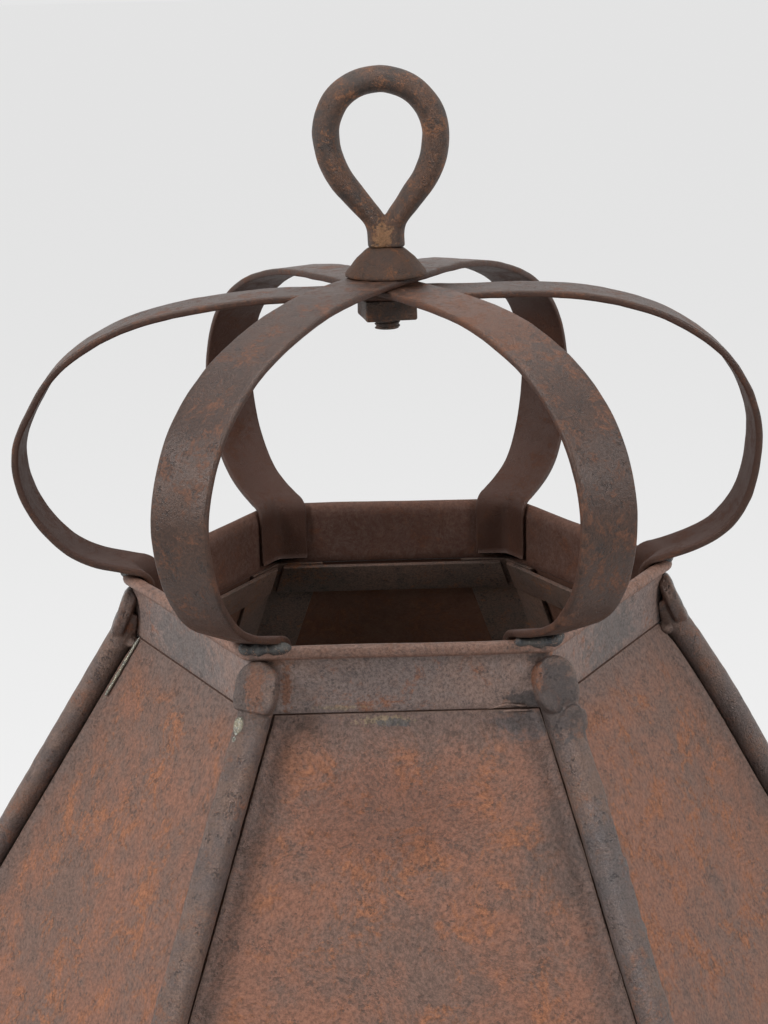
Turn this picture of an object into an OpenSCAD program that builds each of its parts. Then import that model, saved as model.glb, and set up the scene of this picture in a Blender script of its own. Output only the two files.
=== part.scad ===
// Hexagonal iron lantern with a crown of three crossing straps.
// Millimetres, +Z up, origin at the middle of the underside of the base.
// Corners stand at 0, 60 ... 300 degrees round Z, and the door is in the face towards -Y.

/* [Collar] */
// Distance from the centre line to an outer corner of the collar
collar_r = 116; // [112:1:120]
// Height of the collar band below the rolled rim
collar_h = 23.5; // [20:0.5:28]
// Thickness of the collar band
collar_t = 2.5; // [2:0.25:3]
// Radius of the rolled rim round the collar's top
rim_r = 2.8; // [2.2:0.1:3.2]

/* [Crown] */
// Width of the three crown straps
strap_w = 25; // [20:1:28]
// Thickness of the crown straps
strap_t = 3; // [2.5:0.25:3.5]
// Height of the middle strap's centre line above the rim, at the hub
crown_h = 129.7; // [122:1:136]
// How far the folded feet reach down inside the collar, below the rim
foot_drop = 20.5; // [14:0.5:20.5]

/* [Hanging eye] */
// Diameter of the bar that the eye is bent from
eye_bar_d = 11; // [9:0.5:12]
// Bend radius over the top of the loop, to the bar's centre line
eye_top_r = 22.5; // [20:0.5:26]
// Bend radius of the loop's sides, to the bar's centre line
eye_side_r = 35; // [30:1:40]
// Angle at which the two legs of the loop close in
eye_taper = 38; // [34:1:40]
// Height of the eye above the cone washer
eye_h = 75; // [74:1:90]
// Height of the cone washer
cone_h = 12; // [10:1:18]
// Diameter of the cone washer's foot
cone_d = 34; // [30:1:40]
// Size of the square nut across its flats
nut_w = 22; // [19:1:24]
// Height of the square nut
nut_h = 9; // [8:0.5:12]
// Turn of the square nut about the shank
nut_turn = 10.5; // [0:0.5:45]

/* [Roof] */
// Height of the roof from the eaves to the collar's lower edge
roof_h = 200; // [180:5:220]
// Lean of the roof's corner lines from upright
hip_lean = 32; // [30:0.2:33]
// Thickness of the roof sheets
sheet_t = 1.5; // [1:0.25:2]
// Radius of the round bars along the roof's corners
hip_bar_r = 6; // [5.5:0.25:6.5]
// Radius of the hammered lobe at the top of each bar
lobe_r = 9; // [8:0.5:10]
// Thickness of the lobe
lobe_t = 6; // [5:0.5:7]
// Width of each leg of the angle strips under the roof's corners
hip_angle_w = 22; // [18:1:26]
// Width of the flat strips inside the top edge of the sheets
top_strip_w = 17.5; // [14:0.5:20]

/* [Glazed body] */
// Height of the body from the floor to the eaves ring
body_h = 410; // [380:10:440]
// Corner radius of the posts at the floor
body_foot_r = 165; // [160:1:170]
// Corner radius of the posts at the eaves ring
body_top_r = 208; // [204:1:212]
// Width of each leg of the corner posts
post_w = 16; // [14:0.5:16]
// Thickness of the corner posts
post_t = 2.5; // [2:0.25:3]
// Thickness of the glass
glass_t = 3; // [2:0.5:3]
// Height of the base band
base_h = 30; // [24:1:30]

/* [Door] */
// Width of the door frame's flat bars
door_bar_w = 18; // [16:1:20]
// Thickness of the door frame's flat bars
door_bar_t = 3; // [2.5:0.25:3]
// Outer radius of the hinge knuckles
knuckle_r = 3.5; // [3.2:0.1:3.6]
// Height of one hinge knuckle
knuckle_h = 14; // [10:1:18]
// Length of the turn button from its pivot to its tip
button_arm = 22; // [18:1:26]

/* [Candle holder] */
// Diameter of the candle that the socket takes
candle_d = 22; // [20:1:24]
// Depth of the candle socket
socket_depth = 29; // [20:1:35]
// Radius of the drip pan
pan_r = 45; // [35:1:60]

/* [Hidden] */
$fn = 48;
faces = [1 : 6];
door_face = 5;
fixed_faces = [1, 2, 3, 4, 6];

// Colours
worn_iron = [0.24, 0.19, 0.17];
rusty_iron = [0.36, 0.23, 0.16];
rusty_sheet = [0.40, 0.25, 0.18];
dark_iron = [0.18, 0.15, 0.14];
clear_glass = [0.75, 0.82, 0.80, 0.4];

// Clearances
gap = 0.3;
slip = 0.05;
far = 400;

// Levels above the floor
eaves_t = 2.5;
eaves_z = body_h + eaves_t;
collar_z = eaves_z + roof_h;
rim_z = collar_z + collar_h;
hub_z = rim_z + crown_h;
cone_z = hub_z + 1.5 * strap_t;
eye_foot_z = cone_z + cone_h;

// Collar
collar_in_r = collar_r - collar_t / cos(30);
rim_out = 1.2;
rim_turn_r = collar_r + rim_out / cos(30);

// Roof: the reference planes are the outer faces of the angle strips, which carry the sheets
face_lean = atan(tan(hip_lean) * cos(30));
hip_half = half_corner(face_lean);
ridge_top_r = collar_r - sheet_t / cos(face_lean) / cos(30);
ridge_foot_r = ridge_top_r + roof_h * tan(hip_lean);
roof_slope_h = roof_h / cos(face_lean);
hip_line_h = roof_h / cos(hip_lean);
drip = 8;
hip_angle_t = 2;
hip_bite = 0.2;
sheet_inset = 3.7;
strip_inset = 3.5;
lobe_lean = 23;
lobe_mid_r = 125.3;
lobe_mid_h = 11;
lobe_run = 2.5;

// Body: the reference planes are the outer faces of the posts
post_lean = atan((body_top_r - body_foot_r) / body_h);
wall_lean = atan(tan(post_lean) * cos(30));
post_half = half_corner(-wall_lean);
wall_slope_h = body_h / cos(wall_lean);
wall_edge_lean = atan((body_top_r - body_foot_r) / 2 / wall_slope_h);
ledge_t = 2.5;
ledge_w = 20;
base_t = 2.5;
base_in_apothem = apothem(body_foot_r + base_h * tan(post_lean));
base_r = (base_in_apothem + base_t) / cos(30);
floor_t = 2;
floor_r = 157;
pane_inset = 4.5;
eaves_in_r = 194;

// Door
door_foot = 34;
door_top = 405;
door_inset_hinge = 2.5;
door_inset_free = 9.5;
door_rail = 14;
free_stile = 12.5;
pane_lap = 2.5;
hinge_out = 4.6;
hinge_heights = [90, 300];
pin_r = 1.6;
leaf_t = 2;
leaf_w = 14;
button_w = 8;
button_t = 2.5;
button_height = 215;
button_inset = 4.8;
button_tail = 7;
rivet_r = 2;
rivet_head_r = 4;

// Candle holder
cup_r = candle_d / 2 + 0.5;
cup_wall = 2;
cup_foot_t = 3;
pan_t = 1.5;
pan_lip = 4;
pan_z = ledge_t + floor_t;

// Distance from the centre to the middle of a side, for a hexagon of corner radius r
function apothem(r) = r * cos(30);

// Half the angle between two neighbouring faces that lean by lean
function half_corner(lean) = 90 - acos(pow(cos(lean), 2) / 2 + pow(sin(lean), 2)) / 2;

// Half the width of a face at height v up its slope, less an inset square to its edge
function half_width(v, foot_r, top_r, slope_h, inset) =
    let (spread = (top_r - foot_r) / 2 / slope_h)
    foot_r / 2 + spread * v - inset / cos(atan(spread));

// Outline of a face between two heights up its slope, with its own inset on each side
function face_outline(v, foot_r, top_r, slope_h, left, right) = [
    [-half_width(v[0], foot_r, top_r, slope_h, left), v[0]],
    [half_width(v[0], foot_r, top_r, slope_h, right), v[0]],
    [half_width(v[1], foot_r, top_r, slope_h, right), v[1]],
    [-half_width(v[1], foot_r, top_r, slope_h, left), v[1]]
];

function roof_outline(v, inset) =
    face_outline(v, ridge_foot_r, ridge_top_r, roof_slope_h, inset, inset);

function wall_outline(v, left, right) =
    face_outline(v, body_foot_r, body_top_r, wall_slope_h, left, right);

// Point that lies s along one leg of a corner and w outside it, side 1 or -1
function on_leg(s, w, half, side) = [
    -s * cos(half) + w * sin(half),
    side * (s * sin(half) + w * cos(half))
];

// Smooth curve through p[1] and p[2], bent towards the points before and after them
function curve_point(p, t) =
    ((2 * p[1])
    + (p[2] - p[0]) * t
    + (2 * p[0] - 5 * p[1] + 4 * p[2] - p[3]) * pow(t, 2)
    + (3 * p[1] - p[0] - 3 * p[2] + p[3]) * pow(t, 3)) / 2;

function curve(points, steps) = [
    for (i = [0 : len(points) - 4], n = [0 : steps - 1])
        curve_point([for (k = [0 : 3]) points[i + k]], n / steps)
];

// Upright prism with six sides
module hex_prism(r, h) {
    cylinder(r = r, h = h, $fn = 6);
}

module hex_ring(r_out, r_in, h) {
    difference() {
        hex_prism(r_out, h);
        translate([0, 0, -1])
            hex_prism(r_in, h + 2);
    }
}

// Keeps what lies between two heights
module between(low, high) {
    intersection() {
        children();
        translate([-far, -far, low])
            cube([2 * far, 2 * far, high - low]);
    }
}

// Frame on corner i, with local Z up the corner line and local X square to it, outwards
module on_corner(i, r, z, lean) {
    rotate([0, 0, 60 * (i - 1)])
        translate([r, 0, z])
            rotate([0, lean, 0])
                children();
}

// Frame in face i, with local X along it, local Y up its slope and local Z outwards
module on_face(i, foot_apothem, z, lean) {
    rotate([0, 0, 60 * i - 30])
        translate([foot_apothem, 0, z])
            rotate([0, lean, 0])
                rotate([90, 0, 90])
                    children();
}

module on_roof_face(i) {
    on_face(i, apothem(ridge_foot_r), eaves_z, -face_lean)
        children();
}

module on_hip(i) {
    on_corner(i, ridge_foot_r, eaves_z, -hip_lean)
        children();
}

module on_wall(i) {
    on_face(i, apothem(body_foot_r), 0, wall_lean)
        children();
}

module on_post(i) {
    on_corner(i, body_foot_r, 0, post_lean)
        children();
}

// Section of an angle bar that fits the corner of two leaning faces
module angle_section(leg, t, half) {
    polygon([
        [0, 0],
        on_leg(leg, 0, half, 1),
        on_leg(leg, -t, half, 1),
        [-t / sin(half), 0],
        on_leg(leg, -t, half, -1),
        on_leg(leg, 0, half, -1)
    ]);
}

// Everything inside two leaning faces, lifted outwards by w
module inside_corner(w, half, low, high) {
    reach = 60;
    tip = w / sin(half);
    translate([0, 0, low])
        linear_extrude(high - low)
            polygon([
                [tip, 0],
                [tip, 0] + on_leg(reach, 0, half, 1),
                [tip, 0] + on_leg(reach, 0, half, -1)
            ]);
}

// Line in the XZ plane along a path of [radius, angle] bends and [0, length] straights.
// A positive radius turns right and a negative one left, and heading is in degrees from +X.
function walk(path, at, heading, i = 0) =
    i == len(path) ? [] :
    let (
        radius = path[i][0],
        amount = path[i][1],
        centre = at + radius * [sin(heading), -cos(heading)],
        turned = heading - sign(radius) * amount,
        steps = ceil(amount / bend_step),
        points = radius == 0
            ? [at + amount * [cos(heading), sin(heading)]]
            : [
                for (k = [1 : steps])
                    let (h = heading + (turned - heading) * k / steps)
                    centre + radius * [-sin(h), cos(h)]
            ]
    )
    concat(points, walk(path, points[len(points) - 1], turned, i + 1));

// Round bar along a line in the XZ plane
module bar_along(line, bar_r, sides) {
    last = len(line) - 1;
    rings = [
        for (i = [0 : last])
            let (
                along = line[min(i + 1, last)] - line[max(i - 1, 0)],
                square = i == 0 ? [0, 1] : i == last ? [1, 0] : [-along[1], along[0]] / norm(along)
            )
            for (k = [0 : sides - 1])
                let (
                    out = bar_r * cos(360 * k / sides),
                    deep = bar_r * sin(360 * k / sides)
                )
                [line[i][0] + out * square[0], deep, line[i][1] + out * square[1]]
    ];
    walls = [
        for (i = [0 : last - 1], k = [0 : sides - 1])
            let (next = (k + 1) % sides)
            [i * sides + k, i * sides + next, (i + 1) * sides + next, (i + 1) * sides + k]
    ];
    ends = [
        [for (k = [sides - 1 : -1 : 0]) k],
        [for (k = [0 : sides - 1]) last * sides + k]
    ];
    polyhedron(rings, concat(walls, ends), convexity = 4);
}

// Eye: each half of the loop runs from the top of the bend down one side to the shank
eye_bar_r = eye_bar_d / 2;
shank_r = eye_bar_r;
shank_end = 4.5;
neck_x = 2.5;
neck_bend_r = 14;
bend_step = 9;
eye_side_x = eye_top_r - (eye_side_r + neck_bend_r) * (1 - cos(eye_taper));
eye_leg = (eye_side_x - neck_x) / sin(eye_taper);
eye_bends_h = eye_top_r + (eye_side_r + neck_bend_r) * sin(eye_taper) + eye_leg * cos(eye_taper);
neck_h = eye_h - eye_bar_r - eye_bends_h;
eye_path = [
    [eye_top_r, 90],
    [eye_side_r, eye_taper],
    [0, eye_leg],
    [-neck_bend_r, eye_taper],
    [0, neck_h]
];

module eye_half() {
    top = [0, eye_h - eye_bar_r];
    intersection() {
        translate([0, 0, eye_foot_z])
            bar_along(concat([top], walk(eye_path, top, 0)), eye_bar_r, 16);
        translate([0, -eye_h, eye_foot_z])
            cube(2 * eye_h);
    }
}

module hanging_eye() {
    shank_h = cone_h + 3 * strap_t + nut_h + shank_end;
    color(rusty_iron)
        union() {
            eye_half();
            mirror([1, 0, 0])
                eye_half();
            translate([0, 0, eye_foot_z - shank_h])
                cylinder(r = shank_r, h = shank_h);
        }
}

module cone_washer() {
    lip = 1.5;
    top_r = 8;
    color(rusty_iron)
        translate([0, 0, cone_z])
            rotate_extrude()
                polygon([
                    [shank_r + 2 * slip, 0],
                    [cone_d / 2, 0],
                    [cone_d / 2, lip],
                    [top_r + 1, cone_h - lip],
                    [top_r, cone_h],
                    [shank_r + 2 * slip, cone_h]
                ]);
}

module square_nut() {
    color(rusty_iron)
        translate([0, 0, hub_z - 1.5 * strap_t - nut_h])
            rotate([0, 0, nut_turn])
                difference() {
                    translate([-nut_w / 2, -nut_w / 2, 0])
                        cube([nut_w, nut_w, nut_h]);
                    translate([0, 0, -1])
                        cylinder(r = shank_r, h = nut_h + 2);
                }
}

// Crown straps: half of the centre line, as distance from the centre and height above the rim
hub_flat = 26;
belly_points = [
    [62, crown_h - 1.3],
    [93, crown_h - 6],
    [122, crown_h - 16.4],
    [146, crown_h - 35],
    [157.5, crown_h - 62.5],
    [153, 40],
    [138, 19.5],
    [118, 9],
    [98, 5.5],
    [78, 4]
];
curve_steps = 6;

// The straps lie on each other at the hub, and come to one height at the rim
function lifted(p, lift) =
    let (share = min(1, max(0, (p[0] - hub_flat) / (collar_r - hub_flat))))
    [p[0], p[1] + lift * strap_t * (1 - share * share * (3 - 2 * share))];

function strap_line(lift) =
    let (hub = [[0, crown_h], [hub_flat, crown_h]])
    [for (p = concat([hub[0]], curve(concat(hub, belly_points), curve_steps))) lifted(p, lift)];

// The line moved sideways by w, square to itself
function beside(line, w) = [
    for (i = [0 : len(line) - 1])
        let (
            along = line[min(i + 1, len(line) - 1)] - line[max(i - 1, 0)],
            square = i == 0 ? [0, 1] : [-along[1], along[0]] / norm(along)
        )
        line[i] + w * square
];

module strap_half(lift) {
    line = strap_line(lift);
    upper = beside(line, strap_t / 2);
    lower = beside(line, -strap_t / 2);
    rotate([90, 0, 0])
        linear_extrude(strap_w, center = true)
            polygon(concat(upper, [for (i = [len(lower) - 1 : -1 : 0]) lower[i]]));
}

// Foot of a strap: folded to a V that fits the inside of a collar corner
module strap_foot() {
    fold_top = 9.5;
    intersection() {
        translate([0, 0, -foot_drop])
            hex_ring(collar_in_r, collar_in_r - strap_t / cos(30), foot_drop + fold_top);
        translate([collar_in_r / 2, -strap_w / 2, -foot_drop])
            cube([collar_in_r, strap_w, foot_drop + fold_top]);
    }
}

module crown_strap(turn, lift) {
    trim_top = 30;
    color(worn_iron)
        translate([0, 0, rim_z])
            rotate([0, 0, turn])
                difference() {
                    for (side = [0, 1])
                        mirror([side, 0, 0]) {
                            difference() {
                                strap_half(lift);
                                translate([0, 0, -foot_drop])
                                    hex_prism(collar_in_r - strap_t / cos(30), foot_drop + trim_top);
                            }
                            strap_foot();
                        }
                    translate([0, 0, crown_h / 2])
                        cylinder(r = shank_r + 0.5, h = crown_h);
                }
}

module crown_strap_upper() {
    crown_strap(60, 1);
}

module crown_strap_middle() {
    crown_strap(120, 0);
}

module crown_strap_lower() {
    crown_strap(0, -1);
}

// One side of the rolled rim, mitred at the corners
module rim_side() {
    reach = 2 * rim_turn_r;
    intersection() {
        translate([apothem(rim_turn_r), -reach / 2, 0])
            rotate([-90, 0, 0])
                cylinder(r = rim_r, h = reach);
        translate([0, 0, -rim_r - 1])
            linear_extrude(2 * rim_r + 2)
                polygon([[0, 0], reach * [cos(30), -sin(30)], reach * [cos(30), sin(30)]]);
    }
}

module collar_band() {
    color(worn_iron)
        translate([0, 0, collar_z])
            union() {
                hex_ring(collar_r, collar_in_r, collar_h + rim_r);
                translate([0, 0, collar_h + rim_r])
                    for (i = faces)
                        rotate([0, 0, 60 * i - 30])
                            rim_side();
            }
}

module roof_panel(i) {
    tuck = 3;
    color(rusty_sheet)
        between(0, collar_z)
            on_roof_face(i)
                linear_extrude(sheet_t)
                    polygon(roof_outline([-drip, roof_slope_h + tuck], sheet_inset));
}

// Plate with round ends, hammered out of the bar's end, leaning in over the collar's corner
module hip_lobe(i) {
    on_corner(i, lobe_mid_r, collar_z + lobe_mid_h, -lobe_lean)
        translate([-lobe_t, 0, 0])
            rotate([90, 0, 90])
                linear_extrude(lobe_t)
                    union() {
                        circle(lobe_r);
                        translate([0, lobe_run])
                            circle(lobe_r);
                        translate([-lobe_r, 0])
                            square([2 * lobe_r, lobe_run]);
                    }
}

// Round bar on the corner line, cut to sit on the angle strip, with its lobe
module hip_bar(i) {
    color(worn_iron)
        difference() {
            union() {
                difference() {
                    on_hip(i)
                        translate([hip_bar_r - hip_bite, 0, -drip])
                            cylinder(r = hip_bar_r, h = hip_line_h + drip);
                    on_hip(i)
                        inside_corner(0, hip_half, -2 * drip, hip_line_h + drip);
                }
                hip_lobe(i);
            }
            translate([0, 0, collar_z])
                hex_prism(collar_r, collar_h + far);
        }
}

module hip_angle(i) {
    color(dark_iron)
        between(eaves_z, collar_z)
            on_hip(i)
                translate([0, 0, -drip])
                    linear_extrude(hip_line_h + 3 * drip)
                        angle_section(hip_angle_w, hip_angle_t, hip_half);
}

module top_strip(i) {
    strip_t = 2;
    color(dark_iron)
        on_roof_face(i)
            translate([0, 0, -hip_angle_t - strip_t])
                linear_extrude(strip_t)
                    polygon(roof_outline([roof_slope_h - top_strip_w, roof_slope_h], strip_inset));
}

module eaves_frame() {
    edge = 0.2;
    color(dark_iron)
        translate([0, 0, body_h])
            hex_ring(ridge_foot_r - edge, eaves_in_r, eaves_t);
}

module corner_post(i) {
    color(worn_iron)
        between(ledge_t, body_h)
            on_post(i)
                translate([0, 0, -base_h])
                    linear_extrude(body_h + 2 * base_h)
                        angle_section(post_w, post_t, post_half);
}

module pane(i) {
    color(clear_glass)
        between(ledge_t, body_h)
            on_wall(fixed_faces[i - 1])
                translate([0, 0, -post_t - glass_t])
                    linear_extrude(glass_t)
                        polygon(wall_outline([-base_h, wall_slope_h + base_h], pane_inset, pane_inset));
}

module base_frame() {
    color(worn_iron)
        union() {
            hex_ring(base_r, base_in_apothem / cos(30), base_h);
            hex_ring(base_r - base_t, (base_in_apothem - ledge_w) / cos(30), ledge_t);
        }
}

module floor_plate() {
    color(dark_iron)
        translate([0, 0, ledge_t])
            hex_prism(floor_r, floor_t);
}

module drip_pan() {
    color(dark_iron)
        translate([0, 0, pan_z])
            rotate_extrude()
                polygon([
                    [0, 0],
                    [pan_r - 3, 0],
                    [pan_r, pan_lip],
                    [pan_r - pan_t, pan_lip],
                    [pan_r - 3 - pan_t / 2, pan_t],
                    [0, pan_t]
                ]);
}

module candle_cup() {
    foot_r = 20;
    color(dark_iron)
        translate([0, 0, pan_z + pan_t])
            rotate_extrude()
                polygon([
                    [0, 0],
                    [foot_r, 0],
                    [foot_r, pan_t],
                    [cup_r + cup_wall, cup_foot_t],
                    [cup_r + cup_wall, cup_foot_t + socket_depth],
                    [cup_r, cup_foot_t + socket_depth],
                    [cup_r, cup_foot_t],
                    [0, cup_foot_t]
                ]);
}

// Frame on the door's hinge axis, at height z up the corner line
module on_hinge(z) {
    on_post(door_face)
        translate([hinge_out, 0, z])
            children();
}

module knuckle(bore_r) {
    difference() {
        cylinder(r = knuckle_r, h = knuckle_h);
        translate([0, 0, -1])
            cylinder(r = bore_r, h = knuckle_h + 2);
    }
}

// Plate from the hinge axis along one leg of the post, from w[0] to w[1] outside it
module hinge_tab(side, length, w) {
    start = -hinge_out * cos(post_half);
    difference() {
        linear_extrude(knuckle_h)
            polygon([
                on_leg(start, w[0], post_half, side),
                on_leg(length, w[0], post_half, side),
                on_leg(length, w[1], post_half, side),
                on_leg(start, w[1], post_half, side)
            ]);
        translate([hinge_out, 0, -1])
            cylinder(r = knuckle_r - 0.5, h = knuckle_h + 2);
    }
}

// Door frame: stiles and rails in one plane outside the posts, with its two upper knuckles
module door_frame() {
    color(worn_iron)
        union() {
            on_wall(door_face)
                translate([0, 0, gap])
                    linear_extrude(door_bar_t)
                        difference() {
                            polygon(wall_outline(
                                [door_foot, door_top], door_inset_hinge, door_inset_free
                            ));
                            polygon(wall_outline(
                                [door_foot + door_rail, door_top - door_rail],
                                door_inset_hinge + door_bar_w,
                                door_inset_free + free_stile
                            ));
                        }
            for (z = hinge_heights) {
                on_hinge(z + knuckle_h + gap)
                    knuckle(pin_r + slip);
                on_post(door_face)
                    translate([0, 0, z + knuckle_h + gap])
                        hinge_tab(1, door_inset_hinge + 2, [gap + 1, gap + door_bar_t]);
            }
        }
}

module door_pane() {
    color(clear_glass)
        on_wall(door_face)
            translate([0, 0, gap - glass_t])
                linear_extrude(glass_t)
                    polygon(wall_outline(
                        [door_foot + door_rail - pane_lap, door_top - door_rail + pane_lap],
                        door_inset_hinge + door_bar_w - pane_lap,
                        door_inset_free + free_stile - pane_lap
                    ));
}

module hinge_leaf(z) {
    color(worn_iron)
        union() {
            on_hinge(z)
                knuckle(pin_r);
            on_post(door_face)
                translate([0, 0, z])
                    hinge_tab(-1, leaf_w, [0, leaf_t]);
        }
}

module hinge_pin(z) {
    head_r = 2.8;
    head_h = 1.5;
    color(dark_iron)
        on_hinge(z) {
            cylinder(r = pin_r, h = 2 * knuckle_h + gap + 1);
            translate([0, 0, -head_h])
                cylinder(r = head_r, h = head_h);
        }
}

// Frame on the turn button's pivot, with local Y up the post and local Z outwards
module on_button() {
    across = half_width(button_height, body_foot_r, body_top_r, wall_slope_h, button_inset);
    on_wall(door_face)
        translate([across, button_height, 0])
            rotate([0, 0, -wall_edge_lean])
                children();
}

module turn_button() {
    color(worn_iron)
        on_button()
            translate([0, 0, door_bar_t + 2 * gap])
                difference() {
                    linear_extrude(button_t)
                        union() {
                            translate([-button_w / 2, -button_tail])
                                square([button_w, button_arm + button_tail - button_w / 2]);
                            translate([0, button_arm - button_w / 2])
                                circle(button_w / 2);
                        }
                    translate([0, 0, -1])
                        cylinder(r = rivet_r + slip, h = button_t + 2);
                }
}

module button_rivet() {
    collar_top = door_bar_t + gap;
    head_foot = door_bar_t + 3 * gap + button_t;
    color(dark_iron)
        on_button() {
            cylinder(r = rivet_head_r - 0.6, h = collar_top);
            cylinder(r = rivet_r, h = head_foot + 1);
            translate([0, 0, head_foot])
                cylinder(r1 = rivet_head_r, r2 = rivet_head_r - 1.5, h = 1.8);
        }
}

hanging_eye();
cone_washer();
square_nut();
crown_strap_upper();
crown_strap_middle();
crown_strap_lower();
collar_band();
for (i = faces) {
    roof_panel(i);
    hip_bar(i);
    hip_angle(i);
    top_strip(i);
    corner_post(i);
}
for (i = [1 : 5]) {
    pane(i);
}
eaves_frame();
base_frame();
floor_plate();
drip_pan();
candle_cup();
door_frame();
door_pane();
hinge_leaf(hinge_heights[0]);  // hinge_leaf_lower
hinge_leaf(hinge_heights[1]);  // hinge_leaf_upper
hinge_pin(hinge_heights[0]);  // hinge_pin_lower
hinge_pin(hinge_heights[1]);  // hinge_pin_upper
turn_button();
button_rivet();
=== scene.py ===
"""Looks of the hexagonal iron lantern: forged crown, rolled collar, rusted roof and glazed body."""
import math

import bmesh
import bpy
from mathutils import Matrix, Quaternion, Vector, noise


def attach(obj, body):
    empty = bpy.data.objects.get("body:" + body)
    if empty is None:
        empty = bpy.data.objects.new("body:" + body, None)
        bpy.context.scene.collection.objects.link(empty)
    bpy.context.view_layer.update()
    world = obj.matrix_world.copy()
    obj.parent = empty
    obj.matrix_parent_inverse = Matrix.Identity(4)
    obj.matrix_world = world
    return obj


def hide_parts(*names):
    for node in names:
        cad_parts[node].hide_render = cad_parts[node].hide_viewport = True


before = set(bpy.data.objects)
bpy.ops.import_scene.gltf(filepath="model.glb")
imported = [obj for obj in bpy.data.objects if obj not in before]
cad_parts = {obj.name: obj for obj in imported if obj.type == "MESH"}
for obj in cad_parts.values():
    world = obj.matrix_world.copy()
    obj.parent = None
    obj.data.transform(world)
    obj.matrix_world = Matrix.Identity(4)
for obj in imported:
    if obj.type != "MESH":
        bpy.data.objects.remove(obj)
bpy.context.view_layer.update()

MM = 0.001
CORNERS = (1, 2, 3, 4, 5, 6)
COS30 = math.cos(math.radians(30))
TAN30 = math.tan(math.radians(30))

# Heights and radii of the construction, in millimetres.
EAVES_Z = 412.5
ROOF_H = 200.0
COLLAR_Z = EAVES_Z + ROOF_H
COLLAR_H = 23.5
COLLAR_R = 116.0
COLLAR_T = 2.5
RIM_Z = COLLAR_Z + COLLAR_H
RIM_BEAD_R = 2.8
RIM_OUT = 1.2
CROWN_H = 129.7
STRAP_W = 25.0
STRAP_T = 3.0
FOOT_DROP = 20.5
HUB_Z = RIM_Z + CROWN_H
CONE_Z = HUB_Z + 1.5 * STRAP_T
CONE_H = 12.0
EYE_FOOT_Z = CONE_Z + CONE_H
EYE_H = 75.0
EYE_BAR_R = 5.5
NUT_W = 22.0
NUT_H = 9.0
NUT_TURN = 10.5
HIP_LEAN = 32.0
SHEET_T = 1.5
SHEET_INSET = 3.7
BAR_R = 6.0
BAR_DRIP = 8.0
TAB_R = 9.0
TAB_T = 6.6
TAB_RUN = 2.5
TAB_MID_R = 122.9
TAB_MID_Z = 10.6
TAB_LEAN = 23.0

COLLAR_IN_R = COLLAR_R - COLLAR_T / COS30
RIM_TURN_R = COLLAR_R + RIM_OUT / COS30
FACE_LEAN = math.degrees(math.atan(math.tan(math.radians(HIP_LEAN)) * COS30))
RIDGE_TOP_R = COLLAR_R - SHEET_T / math.cos(math.radians(FACE_LEAN)) / COS30
RIDGE_FOOT_R = RIDGE_TOP_R + ROOF_H * math.tan(math.radians(HIP_LEAN))
SLOPE_H = ROOF_H / math.cos(math.radians(FACE_LEAN))
HIP_LINE_H = ROOF_H / math.cos(math.radians(HIP_LEAN))


def put_in_scene(name, data):
    made = bpy.data.objects.new(name, data)
    bpy.context.scene.collection.objects.link(made)
    return made


def place_camera():
    """The camera stands where the photograph was taken, level with the crown and close to it."""
    data = bpy.data.cameras.new("photo_camera")
    data.lens = 70.0
    data.sensor_width = 36.0
    data.sensor_fit = "AUTO"
    data.shift_x = -0.0078
    camera = put_in_scene("photo_camera", data)
    place = Vector((-0.0053, -0.8372, 0.9096))
    target = Vector((0.0, 0.0, 0.6657))
    roll = Quaternion((0, 0, 1), math.radians(-1.4))
    camera.location = place
    camera.rotation_mode = "QUATERNION"
    camera.rotation_quaternion = (target - place).to_track_quat("-Z", "Y") @ roll
    bpy.context.scene.camera = camera


place_camera()


def add(tree, kind, inputs=None, **settings):
    """A shader node with its settings, and its inputs as values or as sockets to link."""
    made = tree.nodes.new(kind)
    for name, value in settings.items():
        setattr(made, name, value)
    for key, value in (inputs or {}).items():
        socket = made.inputs[key]
        if isinstance(value, bpy.types.NodeSocket):
            tree.links.new(value, socket)
        else:
            socket.default_value = value
    return made


def maths(tree, operation, a, b=0.0, clamp=False):
    return add(tree, "ShaderNodeMath", {0: a, 1: b}, operation=operation, use_clamp=clamp).outputs[0]


def times(tree, a, b):
    return maths(tree, "MULTIPLY", a, b)


def vector_maths(tree, operation, a, b=(0.0, 0.0, 0.0)):
    """Result of a vector operation; a length and a dot product come out as plain numbers."""
    second = 3 if operation == "SCALE" else 1
    made = add(tree, "ShaderNodeVectorMath", {0: a, second: b}, operation=operation)
    return made.outputs["Value" if operation in ("LENGTH", "DOT_PRODUCT") else "Vector"]


def spread(tree, value, low, high, to_low=0.0, to_high=1.0):
    """A value brought from low..high to to_low..to_high, clamped, with a soft start and end."""
    made = add(
        tree,
        "ShaderNodeMapRange",
        {"Value": value, "From Min": low, "From Max": high, "To Min": to_low, "To Max": to_high},
        interpolation_type="SMOOTHSTEP",
    )
    return made.outputs["Result"]


def blend_colour(tree, share, a, b, mode="MIX"):
    made = add(tree, "ShaderNodeMix", {0: share, 6: a, 7: b}, data_type="RGBA", blend_type=mode)
    return made.outputs[2]


def open_group(name, inputs, outputs):
    """An empty node group with named inputs (kind, default) and outputs."""
    tree = bpy.data.node_groups.new(name, "ShaderNodeTree")
    for label, (kind, default) in inputs.items():
        socket = tree.interface.new_socket(label, in_out="INPUT", socket_type=kind)
        if default is not None:
            socket.default_value = default
    for label in outputs:
        tree.interface.new_socket(label, in_out="OUTPUT", socket_type="NodeSocketFloat")
    start = tree.nodes.new("NodeGroupInput")
    end = tree.nodes.new("NodeGroupOutput")
    return tree, start.outputs, end.inputs


FLOAT = "NodeSocketFloat"
VECTOR = "NodeSocketVector"


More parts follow.
